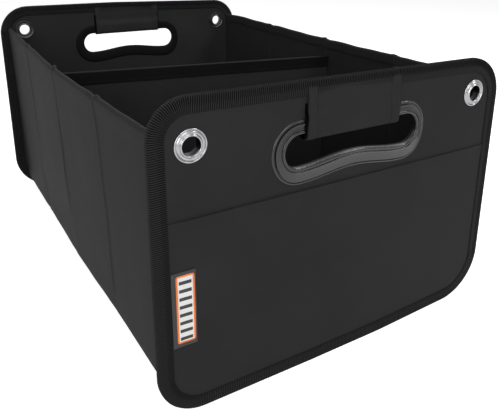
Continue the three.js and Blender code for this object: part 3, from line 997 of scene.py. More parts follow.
@dataclass(frozen=True)
class Stitches:
    """A row of sewn stitches: short thick threads whose ends dive into the cloth."""

    pitch: float = 3.6
    length: float = 2.7
    radius: float = 0.24
    dive: float = 0.3
    sides: int = 6

    def along(self, points: np.ndarray, outwards: np.ndarray) -> Surface:
        """Stitches on a path.

        Each is a tube of six sides and four rings: narrow at its ends, which sit lower than its middle.

        Args:
            points: The path, in order, on the cloth's face.
            outwards: The cloth's outward direction at each point.

        Returns:
            The stitches as one surface.
        """
        lengths = path_lengths(points)
        count = max(1, int(lengths[-1] / self.pitch))
        middles = (np.arange(count) + 0.5) * lengths[-1] / count
        share = np.array([-0.5, -0.3, 0.3, 0.5])
        width = np.array([0.55, 1.0, 1.0, 0.55]) * self.radius
        drop = np.array([self.dive, 0.0, 0.0, self.dive])
        places = middles[:, None] + share[None, :] * self.length
        centre = np.stack([np.interp(places, lengths, points[:, k]) for k in range(3)], axis=-1)
        out = np.stack([np.interp(places, lengths, outwards[:, k]) for k in range(3)], axis=-1)
        out /= np.linalg.norm(out, axis=-1, keepdims=True)
        ahead = centre[:, -1] - centre[:, 0]
        ahead = (ahead / np.linalg.norm(ahead, axis=-1, keepdims=True))[:, None, :]
        side = np.cross(out, np.broadcast_to(ahead, out.shape))
        turn = np.linspace(0.0, 2.0 * math.pi, self.sides, endpoint=False)
        ring = (np.cos(turn)[None, None, :, None] * side[:, :, None, :]
                + np.sin(turn)[None, None, :, None] * out[:, :, None, :])
        body = (centre - out * drop[None, :, None])[:, :, None, :] + ring * width[None, :, None, None]
        one = grid_quads(4, self.sides, close_columns=True)
        caps = np.array([[0, 1, 2, 3], [0, 3, 4, 5], [21, 20, 19, 18], [23, 22, 21, 18]])
        quads = np.vstack([one, caps])
        each = 4 * self.sides
        every = (np.arange(count) * each)[:, None, None] + quads[None]
        weave = np.stack([
            np.broadcast_to(places[:, :, None], body.shape[:3]),
            np.broadcast_to(turn[None, None, :], body.shape[:3]),
        ], axis=-1)
        return Surface(body.reshape(-1, 3), every.reshape(-1, 4), weave.reshape(-1, 2)).facing_out()


HEM_STITCHES = Stitches(pitch=3.4, length=2.5, radius=0.2)


def ring_surface(outline: Outline, count: int, profile: Callable[[np.ndarray, np.ndarray], np.ndarray]
                 ) -> Surface:
    """A closed profile carried round a closed outline, with local Y as its height.

    Args:
        outline: The line to follow.
        count: Number of places along it.
        profile: Gives, from the places' points and normals, an array (count, k, 2) of the distance
            outwards and the height of each profile point.

    Returns:
        The closed ring; its cloth coordinate is the distance along the line and across the profile.
    """
    places = np.arange(count) * outline.length / count
    points, normals = outline.at(places)
    shape = profile(points, normals)
    flat = points[:, None, :] + normals[:, None, :] * shape[:, :, :1]
    solid = np.stack([flat[..., 0], shape[..., 1], flat[..., 1]], axis=-1)
    steps = np.linalg.norm(np.diff(shape, axis=1), axis=2)
    across = np.concatenate([np.zeros((count, 1)), np.cumsum(steps, axis=1)], axis=1)
    weave = np.stack([np.broadcast_to(places[:, None], across.shape), across], axis=-1)
    quads = grid_quads(count, shape.shape[1], close_rows=True, close_columns=True)
    return Surface(solid.reshape(-1, 3), quads, weave.reshape(-1, 2)).facing_out()


def turned_surface(profile: np.ndarray, centre: tuple[float, float] | list[float], sides: int = 72
                   ) -> Surface:
    """A closed profile of radius and height turned round an axis along local Y.

    Args:
        profile: Points of the profile, in order.
        centre: X and Z of the axis.
        sides: Number of places round the axis.

    Returns:
        The closed ring.
    """
    turn = np.linspace(0.0, 2.0 * math.pi, sides, endpoint=False)
    radius, height = profile[None, :, 0], profile[None, :, 1]
    solid = np.stack([
        centre[0] + np.cos(turn)[:, None] * radius,
        np.broadcast_to(height, (sides, len(profile))),
        centre[1] + np.sin(turn)[:, None] * radius,
    ], axis=-1)
    weave = np.stack(np.meshgrid(turn * 10.0, path_lengths(profile), indexing="ij"), axis=-1)
    quads = grid_quads(sides, len(profile), close_rows=True, close_columns=True)
    return Surface(solid.reshape(-1, 3), quads, weave.reshape(-1, 2)).facing_out()


@dataclass
class EndPanel(Group):
    """An end panel: covers, pocket, binding, handle frame, grip wrap, eyelets and stitches."""

    name: str
    frame: PanelFrame
    palette: Palette
    sizes: PanelSizes
    rib: float
    cell: float = 2.5
    cloth: float = 0.6
    swell: float = 0.45
    rib_depth: float = 0.42
    binding_drop: float = 0.6
    left_band_extra: float = 2.0
    right_band_extra: float = -0.5
    wrap_slack: float = 4.5
    wrap_seam: float = 36.5
    bar_height: float = 222.0
    # Near-black strips under the grip wrap's edges, standing out beyond them: a painted shadow.
    shadow_strip_hidden: float = 9.2
    shadow_strip_shown: float = 1.8
    shadow_strip_depth: float = 0.75
    shadow_strip_thickness: float = 0.4
    shadow_strip_sides: tuple[float, ...] = (1.0,)
    phase: float = 0.0

    def swell_at(self, x: np.ndarray, z: np.ndarray) -> np.ndarray:
        """How far the cover's cloth stands off its board: slow waves, flat at the edges and fittings.

        Args:
            x: Across the panel.
            z: Up the panel.

        Returns:
            The height of the cloth above the board.
        """
        sizes = self.sizes
        slow = np.sin(x / 41.0 + 1.3 + self.phase) * np.sin(z / 33.0 + 0.5 + 2.0 * self.phase)
        quick = np.sin(x / 17.0 - z / 23.0 + self.phase) * np.sin(z / 14.0 + x / 37.0)
        waves = 0.5 + 0.35 * slow + 0.15 * quick
        calm = smooth_step(sizes.edge_distance(x, z), 9.0, 34.0)
        for _, eyelet_x, eyelet_z in sizes.eyelets:
            away = np.hypot(x - eyelet_x, z - eyelet_z)
            calm = calm * smooth_step(away, sizes.eyelet_radius - 1.0, sizes.eyelet_radius + 14.0)
        beyond = np.maximum(np.abs(x) - 52.0, 0.0)
        away = np.hypot(beyond, z - (sizes.handle_low + sizes.handle_high) / 2.0)
        calm = calm * smooth_step(away, 24.0, 44.0)
        return self.swell * waves * calm

    def sheet(self, high: float, height_at: Callable[[np.ndarray, np.ndarray], np.ndarray],
              has_holes: bool) -> Surface:
        """A cloth face of the panel: a grid cut to the panel's edge and round its openings.

        Points of cut cells are moved to the nearest point of the line that they were cut along.

        Args:
            high: Highest Z of the sheet.
            height_at: The middle of the cloth's local Y at points in X and Z.
            has_holes: Whether the handle opening and the eyelet holes are cut out.

        Returns:
            The open sheet, facing along local +Y.
        """
        sizes = self.sizes
        left, right, low, top = sizes.span()
        high = min(high, top)
        columns = int(round((right - left) / self.cell)) + 1
        rows = int(round((high - low) / self.cell)) + 1
        z, x = np.meshgrid(np.linspace(low, high, rows), np.linspace(left, right, columns), indexing="ij")
        flat = np.stack([x.ravel(), z.ravel()], axis=1)
        quads = grid_quads(rows, columns)
        centre = flat[quads].mean(axis=1)
        hole = sizes.frame_sleeve + sizes.clearance
        barrel = sizes.eyelet_bore + 1.1
        keep = sizes.edge_distance(centre[:, 0], centre[:, 1]) > 0.0
        if has_holes:
            keep &= ~sizes.in_handle(centre[:, 0], centre[:, 1], hole)
            for _, eyelet_x, eyelet_z in sizes.eyelets:
                keep &= np.hypot(centre[:, 0] - eyelet_x, centre[:, 1] - eyelet_z) > barrel
        quads = quads[keep]
        used, inverse = np.unique(quads, return_inverse=True)
        flat, quads = flat[used], inverse.reshape(-1, 4)
        starts, ends = quads.ravel(), np.roll(quads, -1, axis=1).ravel()
        count = len(flat)
        open_edge = ~np.isin(starts * count + ends, ends * count + starts)
        rim = np.unique(starts[open_edge])
        at = flat[rim]
        close = np.abs(sizes.edge_distance(at[:, 0], at[:, 1])) < 1.5 * self.cell
        flat[rim[close]] = sizes.edge().nearest(at[close], 0.0)
        if has_holes:
            near_slot = sizes.in_handle(at[:, 0], at[:, 1], hole + 2.0 * self.cell)
            near_slot &= ~sizes.in_handle(at[:, 0], at[:, 1], hole - 2.0 * self.cell) & ~close
            flat[rim[near_slot]] = sizes.handle().nearest(at[near_slot], hole)
            for _, eyelet_x, eyelet_z in sizes.eyelets:
                centre = np.array([eyelet_x, eyelet_z])
                reach = at - centre
                away = np.linalg.norm(reach, axis=1)
                near = (away < barrel + 2.0 * self.cell) & (away > 0.5)
                flat[rim[near]] = centre + reach[near] / away[near, None] * barrel
        y = height_at(flat[:, 0], flat[:, 1])
        points = np.stack([flat[:, 0], y, flat[:, 1]], axis=1)
        return Surface(points, quads, flat.copy())

    @property
    def prefix(self) -> str:
        """The start of the names of this panel's pieces."""
        return f"{self.name}_"

    def place(self, points: np.ndarray) -> np.ndarray:
        """Points of the panel in the row frame."""
        return self.frame.place(points)

    def covers(self) -> None:
        """The cloth on the outer and on the inner face, each a thickened sheet with its openings."""
        sizes = self.sizes
        high = sizes.height - sizes.core_inset
        middle = sizes.board_face + self.cloth / 2.0
        flat = ((sizes.width - 2 * sizes.core_inset) * MM, (high - sizes.core_inset) * MM)
        outer = self.sheet(high, lambda x, z: middle + self.swell_at(x, z), True)
        inner = self.sheet(high, lambda x, z: -middle - self.swell_at(x + 19.0, z - 7.0), True)
        for suffix, surface, material, slot in (
            ("outer_cover_cloth", outer, self.palette.cloth, Slot.CLOTH),
            ("inner_cover_cloth", inner, self.palette.lining, Slot.LINING),
        ):
            node = suffix.removesuffix("_cloth")
            piece = self.put(suffix, surface.thickened(self.cloth), material, slot, node)

    def pocket(self) -> None:
        """The flat patch pocket: its mouth stands off the cover, with a folded hem along it."""
        sizes = self.sizes
        low, high = sizes.core_inset, sizes.pocket_top
        half = sizes.width / 2.0 - sizes.binding_width

        def height_at(x: np.ndarray, z: np.ndarray) -> np.ndarray:
            """Above the cover by the cloth, and further off it towards the mouth."""
            middle = sizes.cover_face + self.cloth / 2.0 + self.swell_at(x, z)
            open_mouth = smooth_step(z, high - 34.0, high) * smooth_step(np.abs(x), half, half - 30.0)
            ripple = 0.5 + 0.5 * np.sin(x / 46.0 + 0.8 + self.phase)
            pull = smooth_step(sizes.edge_distance(x, z), 9.0, 20.0)
            return middle + open_mouth * (0.3 + 0.4 * ripple) + 0.25 * pull

        surface = self.sheet(high, height_at, False)
        hem = smooth_step(surface.points[:, 2], high - 11.5, high - 10.5)
        hem_groove = np.exp(-((surface.points[:, 2] - (high - 9.5)) / 1.3) ** 2)
        thickness = self.cloth * (1.0 + 0.7 * hem) - 0.2 * hem_groove
        piece = self.put("pocket_cloth", surface.thickened(thickness),
                         self.palette.cloth, Slot.CLOTH, "pocket")
        flat = ((sizes.width - 2 * sizes.core_inset) * MM, (high - low) * MM)

    def binding(self) -> None:
        """The ribbed tape folded round the edge, with a sewn groove along the middle of each face."""
        sizes = self.sizes
        outline = sizes.edge()
        ribs = int(round(outline.length / self.rib))
        count = ribs * 4
        leg_end = sizes.core_inset - sizes.binding_width
        edge = sizes.clearance + sizes.tape
        face = sizes.binding_face
        groove = leg_end / 2.0 - 0.3
        leg = np.array([leg_end, leg_end + 0.5, groove - 2.6, groove - 0.7, groove, groove + 0.7,
                        groove + 2.6, -0.6])
        leg_weight = np.array([0.2, 0.8, 1.0, 0.55, 0.0, 0.55, 1.0, 1.0])
        leg_side = np.array([-1.0, -1.0, -1.0, -1.0, 0.0, 1.0, 1.0, 1.0])
        leg_sink = np.array([0.25, 0.0, 0.0, 0.12, 0.42, 0.12, 0.0, 0.0])
        bend = np.array([[edge - 0.75, face - 0.16], [edge - 0.18, face - 0.8], [edge, face - 1.9]])
        out_d = np.concatenate([leg, bend[:, 0]])
        out_y = np.concatenate([face - leg_sink, bend[:, 1]])
        weight = np.concatenate([leg_weight, [1.0, 1.0, 1.0]])
        side = np.concatenate([leg_side, [1.0, 1.0, 1.0]])
        normal = np.concatenate([np.tile([0.0, 1.0], (8, 1)), [[0.3, 0.95], [0.8, 0.6], [1.0, 0.0]]])
        back = slice(None, None, -1)
        path = np.vstack([np.stack([out_d, out_y], 1), np.stack([out_d[back], -out_y[back]], 1)])
        weight = np.concatenate([weight, weight[back]])
        side = np.concatenate([side, side[back]])
        normal = np.vstack([normal, normal[back] * np.array([1.0, -1.0])])
        inside = np.array([
            [leg_end, -face + sizes.tape], [sizes.clearance / 2.0, -face + sizes.tape],
            [sizes.clearance / 2.0, face - sizes.tape], [leg_end, face - sizes.tape],
        ])

        def profile(points: np.ndarray, normals: np.ndarray) -> np.ndarray:
            """Ribs as a cosine across the path, shifted by half a rib beyond the sewn groove."""
            places = np.arange(len(points)) / 4.0
            shift = np.where(side < 0.0, math.pi, 0.0)
            wave = 0.5 - 0.5 * np.cos(2.0 * math.pi * places[:, None] + shift[None, :])
            outer = path[None] - (wave * weight[None])[:, :, None] * self.rib_depth * normal[None]
            inner = np.broadcast_to(inside[None], (len(points), 4, 2))
            shape = np.concatenate([outer, inner], axis=1)
            towards_end = smooth_step(-shape[:, :, 0], 1.0, -leg_end)
            above_pocket = smooth_step(points[:, 1], sizes.pocket_top - 3.0, sizes.pocket_top + 3.0)
            is_inner_face = shape[:, :, 1] < 0.0
            drop = np.where(is_inner_face, -self.binding_drop, self.binding_drop * above_pocket[:, None])
            shape[:, :, 1] -= drop * towards_end
            return shape

        surface = ring_surface(outline, count, profile)
        piece = self.put("binding_tape", surface, self.palette.tape, Slot.TAPE, "binding")
        self.binding_stitches(outline, groove, face)

    def binding_stitches(self, outline: Outline, groove: float, face: float) -> None:
        """The two rows of stitches along the binding's grooves."""
        places = np.arange(0.0, outline.length + 2.0, 2.0)
        flat, normals = outline.at(places)
        line = flat + normals * groove
        above = smooth_step(line[:, 1], self.sizes.pocket_top - 3.0, self.sizes.pocket_top + 3.0)
        share = float(smooth_step(np.array([-groove]), 1.0, self.sizes.binding_width - 1.1)[0])
        rows = []
        for way, drop in ((1.0, above), (-1.0, np.ones_like(above))):
            level = face - self.rib_depth - self.binding_drop * drop * share
            points = np.stack([line[:, 0], way * level, line[:, 1]], axis=1)
            outwards = np.tile([0.0, way, 0.0], (len(points), 1))
            rows.append(Stitches(radius=0.2).along(points, outwards))
        self.put("binding_stitches", rows[0].joined(rows[1]), self.palette.thread, Slot.TAPE)

    def handle_frame(self) -> None:
        """Both halves of the moulded frame: a rounded lip, a groove, a flat band and a raised rim."""
        sizes = self.sizes
        outline = sizes.handle()

        def profile_for(way: float) -> Callable[[np.ndarray, np.ndarray], np.ndarray]:
            """The profile of the outer or the inner half."""
            lip, band, rim = sizes.lip_face, sizes.band_face, sizes.rim_face
            low = band - 0.55
            if way > 0:
                near = [[0.0, 0.15], [0.0, lip - 1.7], [0.15, lip - 0.9], [0.55, lip - 0.25], [1.15, lip],
                        [1.8, lip], [2.4, lip - 0.25], [2.8, lip - 0.7], [2.95, low], [3.35, low],
                        [3.6, band + 0.1], [4.0, band + 0.25], [4.5, band], [5.0, band - 0.3]]
                far = [[-3.3, band + 0.5], [-3.0, band + 0.4], [-2.8, low - 0.3], [-2.3, low - 0.3],
                       [-2.0, rim - 0.9], [-1.5, rim - 0.6], [-0.8, rim - 0.7], [-0.2, rim - 1.1], [0.0, 1.8]]
            else:
                near = [[0.0, 0.15], [0.0, band - 0.8], [0.25, band - 0.25], [0.8, band]]
                far = [[-2.0, band], [-1.2, band - 0.1], [-0.4, band - 0.45], [0.0, 1.8]]
            near, far = np.array(near), np.array(far)
            sleeve = np.array([[sizes.frame_sleeve, 1.8], [sizes.frame_sleeve, 0.15]])

            def profile(points: np.ndarray, normals: np.ndarray) -> np.ndarray:
                """Lip and grooves keep their distance from the opening, and the rim from the edge."""
                side_band = np.where(normals[:, 1] > 0.0, sizes.frame_top_band, sizes.frame_lower_band)
                end_band = np.where(normals[:, 0] * self.frame.facing.value < 0.0,
                                    sizes.frame_end_band + self.left_band_extra,
                                    sizes.frame_end_band + self.right_band_extra)
                width = np.hypot(end_band * normals[:, 0], side_band * normals[:, 1])
                count = len(points)
                outer = np.broadcast_to(far[None], (count, len(far), 2)).copy()
                outer[:, :, 0] += width[:, None]
                shape = np.concatenate([
                    np.broadcast_to(near[None], (count, len(near), 2)), outer,
                    np.broadcast_to(sleeve[None], (count, len(sleeve), 2)),
                ], axis=1)
                return shape * np.array([1.0, way])
            return profile

        for suffix, way, plastic in (("outer", 1.0, self.palette.plastic),
                                     ("inner", -1.0, self.palette.dark_plastic)):
            surface = ring_surface(outline, 300, profile_for(way))
            name = f"handle_frame_{suffix}"
            self.put(f"{name}_moulding", surface, plastic, Slot.PLASTIC, name)

    def grip_wrap(self) -> None:
        """The cloth folded over the bar, from under the binding on one face to the other."""
        sizes = self.sizes
        face = sizes.lip_face + sizes.clearance + sizes.wrap_cloth / 2.0
        flat = sizes.cover_face + sizes.wrap_cloth / 2.0
        frame_top = sizes.handle_high + sizes.frame_top_band
        tape_edge = sizes.wrap_top - sizes.binding_width
        bottom = sizes.handle_high - self.wrap_slack - sizes.wrap_cloth / 2.0
        half = np.array([
            [flat - 0.3, tape_edge + 8.0], [flat - 0.3, tape_edge], [flat, tape_edge - 2.0],
            [flat, frame_top + 6.5], [face - 0.6, frame_top + 2.4], [face, frame_top - 0.5],
            [face + 0.05, frame_top - 7.0], [face, bottom + 3.0], [face - 0.9, bottom + 0.9],
            [face - 2.4, bottom],
        ])
        path = np.vstack([half, half[::-1] * np.array([-1.0, 1.0])])
        path = resampled(rounded(path, 3, closed=False), 0.9)
        x = np.linspace(-sizes.wrap_width / 2.0, sizes.wrap_width / 2.0, 73)
        along = path_lengths(path)
        middle = along[-1] / 2.0
        shift = sizes.wrap_shift * self.frame.facing.value
        share = np.abs(along - middle) / middle
        slack = np.sin(np.pi * np.clip((1.0 - share) * 1.15, 0.0, 1.0))[:, None]
        across = np.cos(np.pi * x / sizes.wrap_width)[None, :] ** 2
        puff = 0.35 * slack * across * (1.0 + 0.5 * np.sin(x / 9.0 + self.phase)[None, :])
        from_edge = sizes.wrap_width / 2.0 - np.abs(x)[None, :]
        on_face = smooth_step(share, 0.22, 0.5) * smooth_step(1.0 - share, 0.0, 0.2)
        puff = puff + 1.3 * np.exp(-(from_edge / 4.0) ** 2) * on_face[:, None]
        tangent = np.gradient(path, axis=0)
        tangent /= np.linalg.norm(tangent, axis=1, keepdims=True)
        outward = np.stack([-tangent[:, 1], tangent[:, 0]], axis=1)
        outward *= np.sign(outward[len(path) // 4, 0]) if path[len(path) // 4, 0] > 0 else 1.0
        y = path[:, :1] + outward[:, :1] * puff
        z = path[:, 1:] + outward[:, 1:] * puff
        surface = grid_surface(x[None, :] + shift, y, z, along[:, None], x[None, :])
        seam = self.wrap_seam
        from_middle = np.abs(surface.points[:, 0] - shift)
        hem = smooth_step(from_middle, seam - 0.6, seam + 0.6)
        groove = np.exp(-((from_middle - seam) / 0.9) ** 2)
        thickness = 0.9 + 0.5 * hem - 0.5 * groove
        piece = self.put("grip_wrap_cloth", surface.thickened(thickness),
                         self.palette.cloth, Slot.CLOTH, "grip_wrap")
        # Near-black strips under the wrap's edges: a painted shadow along them.
        self.wrap_shadow_strips(path, outward, shift)
        rows = []
        for side in (-1.0, 1.0):
            column = int(np.argmin(np.abs(x - side * seam)))
            line = surface.points.reshape(len(path), len(x), 3)[4:-4, column]
            out = surface.normals().reshape(len(path), len(x), 3)[4:-4, column]
            way = np.sign(np.sum(out * (line - np.array([0.0, 0.0, self.bar_height])), axis=1).mean())
            rows.append(Stitches(pitch=3.0, length=2.2, radius=0.2).along(line + out * way * 0.42, out * way))
        self.put("grip_wrap_stitches", rows[0].joined(rows[1]), self.palette.thread, Slot.CLOTH)

    def wrap_shadow_strips(self, path: np.ndarray, outward: np.ndarray, shift: float) -> None:
        """Near-black strips under the wrap's side edges, which stand out a little beyond them: a painted
        shadow along those edges.

        Only the part that stands out shows in the photograph.

        Args:
            path: The wrap's line, of Y and Z, from one face of the panel to the other.
            outward: The wrap's outward direction at each point of the line.
            shift: X of the wrap's middle.
        """
        under = path - outward * self.shadow_strip_depth
        for number, side in enumerate(self.shadow_strip_sides, start=1):
            edge = side * self.sizes.wrap_width / 2.0
            inner, outer = edge - side * self.shadow_strip_hidden, edge + side * self.shadow_strip_shown
            x = (np.linspace(inner, outer, 8) + shift)[None, :]
            tape = grid_surface(x, under[:, :1], under[:, 1:], path_lengths(path)[:, None], x)
            shell = tape.thickened(self.shadow_strip_thickness)
            # The near-black strip that shows beyond the wrap's edge is a painted shadow.
            piece = self.put(f"grip_wrap_facing_{number}", shell, self.palette.facing, Slot.TAPE)
            length = float(path_lengths(under)[-1])
            width = self.shadow_strip_hidden + self.shadow_strip_shown
            width * MM

    def eyelets(self) -> None:
        """Domed eyelets with rolled rims, and the washers that they are clinched over; barrels, clinches and
        washers are in darker nickel, which is painted shade.
        """
        sizes = self.sizes
        bore, rim = sizes.eyelet_bore, sizes.eyelet_radius
        eyelet = rounded(np.array([
            [bore + 0.6, 1.9], [bore + 0.6, 3.0], [bore + 0.85, 3.65], [bore + 1.35, 3.9],
            [bore + 1.9, 3.65], [bore + 2.35, 2.9], [bore + 2.8, 2.75], [bore + 3.7, 2.85],
            [rim - 1.75, 2.2], [rim - 1.45, 2.1], [rim - 1.1, 2.75], [rim - 0.4, 2.7], [rim, 2.2],
            [rim, 1.8], [bore + 1.1, 1.8],
        ]), 2)
        barrel = rounded(np.array([
            [bore + 0.2, -3.0], [bore + 0.5, 2.2], [bore + 0.75, 2.6], [bore + 1.0, 2.2],
            [bore + 0.9, -3.0],
        ]), 1)
        clinch = rounded(np.array([
            [bore + 0.75, -3.05], [bore + 1.2, -2.9], [bore + 1.8, -2.9], [bore + 2.3, -3.2],
            [bore + 1.9, -3.7], [bore + 1.1, -3.7],
        ]), 2)
        washer = rounded(np.array([
            [bore + 1.1, -1.85], [11.0, -1.85], [11.1, -2.9], [10.5, -3.1], [9.9, -2.35],
            [bore + 1.1, -2.35],
        ]), 2)
        for side_name, *centre in sizes.eyelets:
            self.put(f"eyelet_{side_name}_ring", turned_surface(eyelet, centre),
                     self.palette.metal, Slot.METAL, f"eyelet_{side_name}")
            # Darker nickel on the barrel: painted shade inside the bore.
            self.put(f"eyelet_{side_name}_barrel", turned_surface(barrel, centre),
                     self.palette.dark_metal, Slot.METAL)
            # Darker nickel on the clinch and the washer: painted shade on the panel's inner side.
            self.put(f"eyelet_{side_name}_clinch", turned_surface(clinch, centre),
                     self.palette.dull_metal, Slot.METAL)
            self.put(f"eyelet_washer_{side_name}_ring", turned_surface(washer, centre),
                     self.palette.dull_metal, Slot.METAL, f"eyelet_washer_{side_name}")

    def build(self) -> None:
        """Adds every piece of the panel."""
        self.covers()
        self.pocket()
        self.binding()
        self.handle_frame()
        self.grip_wrap()
        self.eyelets()


@dataclass
class FrontLabel:
    """The woven label, sewn into the front panel beside the binding."""

    panel: EndPanel
    width: float = 18.5
    height: float = 61.5
    low: float = 64.5
    thickness: float = 0.5

    def build(self) -> None:
        """A thin sheet whose free end lifts a little off the pocket."""
        sizes = self.panel.sizes
        far = sizes.width / 2.0 - sizes.binding_width - 0.3
        u = np.linspace(0.0, self.width, 38)
        v = np.linspace(0.0, self.height, 128)
        across, up = np.meshgrid(u, v, indexing="ij")
        lift = 0.5 * smooth_step(across, self.width * 0.3, self.width) * (0.6 + 0.4 * np.sin(up / 15.0))
        (near, beyond), (foot, head) = WovenLabel.frame_along, WovenLabel.frame_across
        inward = np.minimum(np.minimum(across - near, beyond - across), np.minimum(up - foot, head - up))
        raised = 0.12 * smooth_step(inward, -0.2, 0.2) - 0.12 * smooth_step(inward, 1.2, 1.5)
        x = far - across
        z = self.low + up
        y = sizes.pocket_face + 0.55 + self.panel.swell_at(x, z) + lift + raised
        surface = grid_surface(x, y, z, across, up).thickened(self.thickness)
        piece = self.panel.put("label_weave", surface, self.panel.palette.label, Slot.LABEL, "label")
        self.width * MM
        self.height * MM


@dataclass
class SideWall(Group):
    """A side wall: cover with its hemmed and stitched top, lining, and four boards between them."""

    name: str
    turn: float
    palette: Palette
    end: float = 243.3
    low: float = 20.0
    height: float = 250.0
    width: float = 340.0
    fold_spacing: float = 124.0
    hem: float = 10.0
    cloth: float = 0.6
    wall: float = 4.2
    lining_depth: float = 3.0
    board_depth: float = 1.73
    board_thickness: float = 1.5
    board_margin: float = 4.0
    board_drop: float = 14.0
    cover_cut: float = 204.0
    lining_cut: float = 203.0
    weave_top: float = 200.0
    face_drop: float = 28.0
    top_drops: tuple[float, float, float] = (26.0, 27.5, 29.0)
    head_insets: tuple[float, float, float] = (9.0, 5.5, 3.0)
    foot_insets: tuple[float, float, float] = (11.4, 10.7, 8.9)
    crown: float = 0.0
    hump: float = 1.6
    phase: float = 0.0

    def along(self, y: np.ndarray, values: tuple[float, float, float]) -> np.ndarray:
        """Straight between the values at the ends, the quarter folds and the middle."""
        ends, quarters, middle = values
        return np.interp(np.abs(y), [0.0, self.fold_spacing, self.end], [middle, quarters, ends])

    def folds(self) -> tuple[float, float, float]:
        """Places of the three folds along the wall."""
        return -self.fold_spacing, 0.0, self.fold_spacing

    def top(self, y: np.ndarray) -> np.ndarray:
        """Height of the wall's top edge: slack cloth, with a small hump beside each fold."""
        level = self.height - self.along(y, self.top_drops)
        for k, fold in enumerate(self.folds()):
            away = y - fold
            level = level + self.hump * (1.0, 1.7, 1.0)[k] * np.exp(-((away - 3.0) / 4.0) ** 2)
            level = level - self.hump * 0.7 * np.exp(-((away + 7.0) / 6.0) ** 2)
        slack = smooth_step(self.end - np.abs(y), 0.0, 30.0)
        waves = 0.3 * np.sin(y / 17.0 + self.phase) + 0.18 * np.sin(y / 7.3)
        return level + slack * (waves + self.crown)

    def face(self, y: np.ndarray, z: np.ndarray) -> np.ndarray:
        """Distance of the flat wall's outer face from the middle: the wall leans in to its foot."""
        head = self.width / 2.0 - self.along(y, self.head_insets)
        foot = self.width / 2.0 - self.along(y, self.foot_insets)
        rise = np.clip((z - self.low) / (self.height - self.face_drop - self.low), 0.0, 1.0)
        return foot + (head - foot) * rise

    def relief(self, y: np.ndarray, z: np.ndarray) -> np.ndarray:
        """How far the cloth lies in from the flat face: creases, valleys and slow waves.

        Args:
            y: Along the wall.
            z: Up the wall.

        Returns:
            The depth, positive inwards.
        """
        depth = np.zeros(np.broadcast(y, z).shape)
        for k, fold in enumerate(self.folds()):
            wander = 1.9 * np.sin(z / 37.0 + k * 1.9 + self.phase) + 0.7 * np.sin(z / 12.0 + 2.3 * k)
            away = y - fold - wander
            strong = np.exp(-((z - 175.0 + 22.0 * k) / 62.0) ** 2)
            crease = 0.2 + 0.8 * strong + 0.18 * np.sin(z / 21.0 + 2.0 * k + self.phase)
            depth = depth + 1.25 * crease * np.exp(-(away / 1.2) ** 2)
            valley = 0.5 + 0.35 * np.sin(z / 34.0 + 1.4 * k + self.phase)
            depth = depth + 0.45 * valley * np.exp(-((away + 4.0) / 8.0) ** 2)
            depth = depth - 0.55 * crease * np.exp(-((away - 3.2) / 1.9) ** 2)
        slow = np.sin(y / 29.0 + self.phase) * np.sin(z / 44.0 + 1.0 + self.phase)
        quick = np.sin(y / 9.0 + z / 90.0 + 2.0 * self.phase) * np.sin(z / 47.0 + y / 60.0)
        calm = smooth_step(self.end - np.abs(y), 2.0, 30.0)
        return depth - calm * (0.2 * slow + 0.12 * quick)

    def inner(self, y: np.ndarray, z: np.ndarray) -> np.ndarray:
        """Distance of the lining's inner face from the middle of the box."""
        return self.face(y, z) - self.lining_depth - self.relief(y, z) * 0.9 - self.cloth / 2.0

    def place(self, points: np.ndarray) -> np.ndarray:
        """Turns the wall from the +X side to its own side."""
        return points * np.array([self.turn, self.turn, 1.0])

    @property
    def prefix(self) -> str:
        """The start of the names of this wall's pieces."""
        return f"{self.name}_wall_"

    def columns(self, count: int) -> np.ndarray:
        """Places along the wall: evenly spread ones, and close ones at each fold."""
        close = np.linspace(-9.0, 9.0, 31)
        near_folds = [fold + close for fold in self.folds()]
        return np.unique(np.concatenate([np.linspace(-self.end, self.end, count), *near_folds]).round(3))

    def cover(self) -> None:
        """The cover: up the outer face, over a round top edge and down inside as the hem."""
        y = self.columns(196)
        rise = np.linspace(0.0, 1.0, 84)
        radius = (self.wall - self.cloth) / 2.0
        bend = np.linspace(0.0, math.pi, 9)[1:]
        down = np.linspace(0.0, self.hem - radius, 6)[1:]
        columns = len(rise) + len(bend) + len(down)
        top = self.top(y)[:, None]
        start = top - radius - self.cloth / 2.0
        outer_z = self.low + (start - self.low) * rise[None, :]
        bend_z = start + radius * np.sin(bend)[None, :]
        hem_z = start - down[None, :]
        z = np.concatenate([outer_z, bend_z, hem_z], axis=1)
        inwards = np.concatenate([
            np.zeros(len(rise)), radius * (1.0 - np.cos(bend)), np.full(len(down), 2.0 * radius),
        ])[None, :] + self.cloth / 2.0
        grid_y = np.broadcast_to(y[:, None], z.shape)
        hem_step = 0.35 * smooth_step(z, start - self.hem - 0.6, start - self.hem + 0.6)
        hem_step = hem_step * (np.arange(columns) < len(rise))[None, :]
        x = self.face(grid_y, z) - inwards + hem_step - self.relief(grid_y, np.minimum(z, start))
        rising = self.weave_top - self.low
        run = np.concatenate([rise * rising, rising + radius * bend, rising + radius * math.pi + down])
        surface = grid_surface(x, grid_y, z, grid_y, run[None, :])
        shell = surface.thickened(self.cloth)
        piece = self.put("cover_cloth", shell, self.palette.cloth, Slot.CLOTH, "cover")
        2.0 * self.end * MM
        (self.cover_cut + math.pi * radius + self.hem) * MM
        self.hem_stitches(y)

    def hem_stitches(self, y: np.ndarray) -> None:
        """The row of stitches that holds the hem, seen on the outer face and inside."""
        level = self.top(y) - self.hem + 1.6
        rows = []
        for inwards, way in ((-0.05, 1.0), (self.wall + 0.05, -1.0)):
            x = self.face(y, level) - inwards - self.relief(y, level) + 0.15 * way
            points = np.stack([x, y, level], axis=1)[2:-2]
            outwards = np.tile([way, 0.0, 0.0], (len(points), 1))
            rows.append(HEM_STITCHES.along(points, outwards))
        self.put("hem_stitches", rows[0].joined(rows[1]), self.palette.thread, Slot.CLOTH)

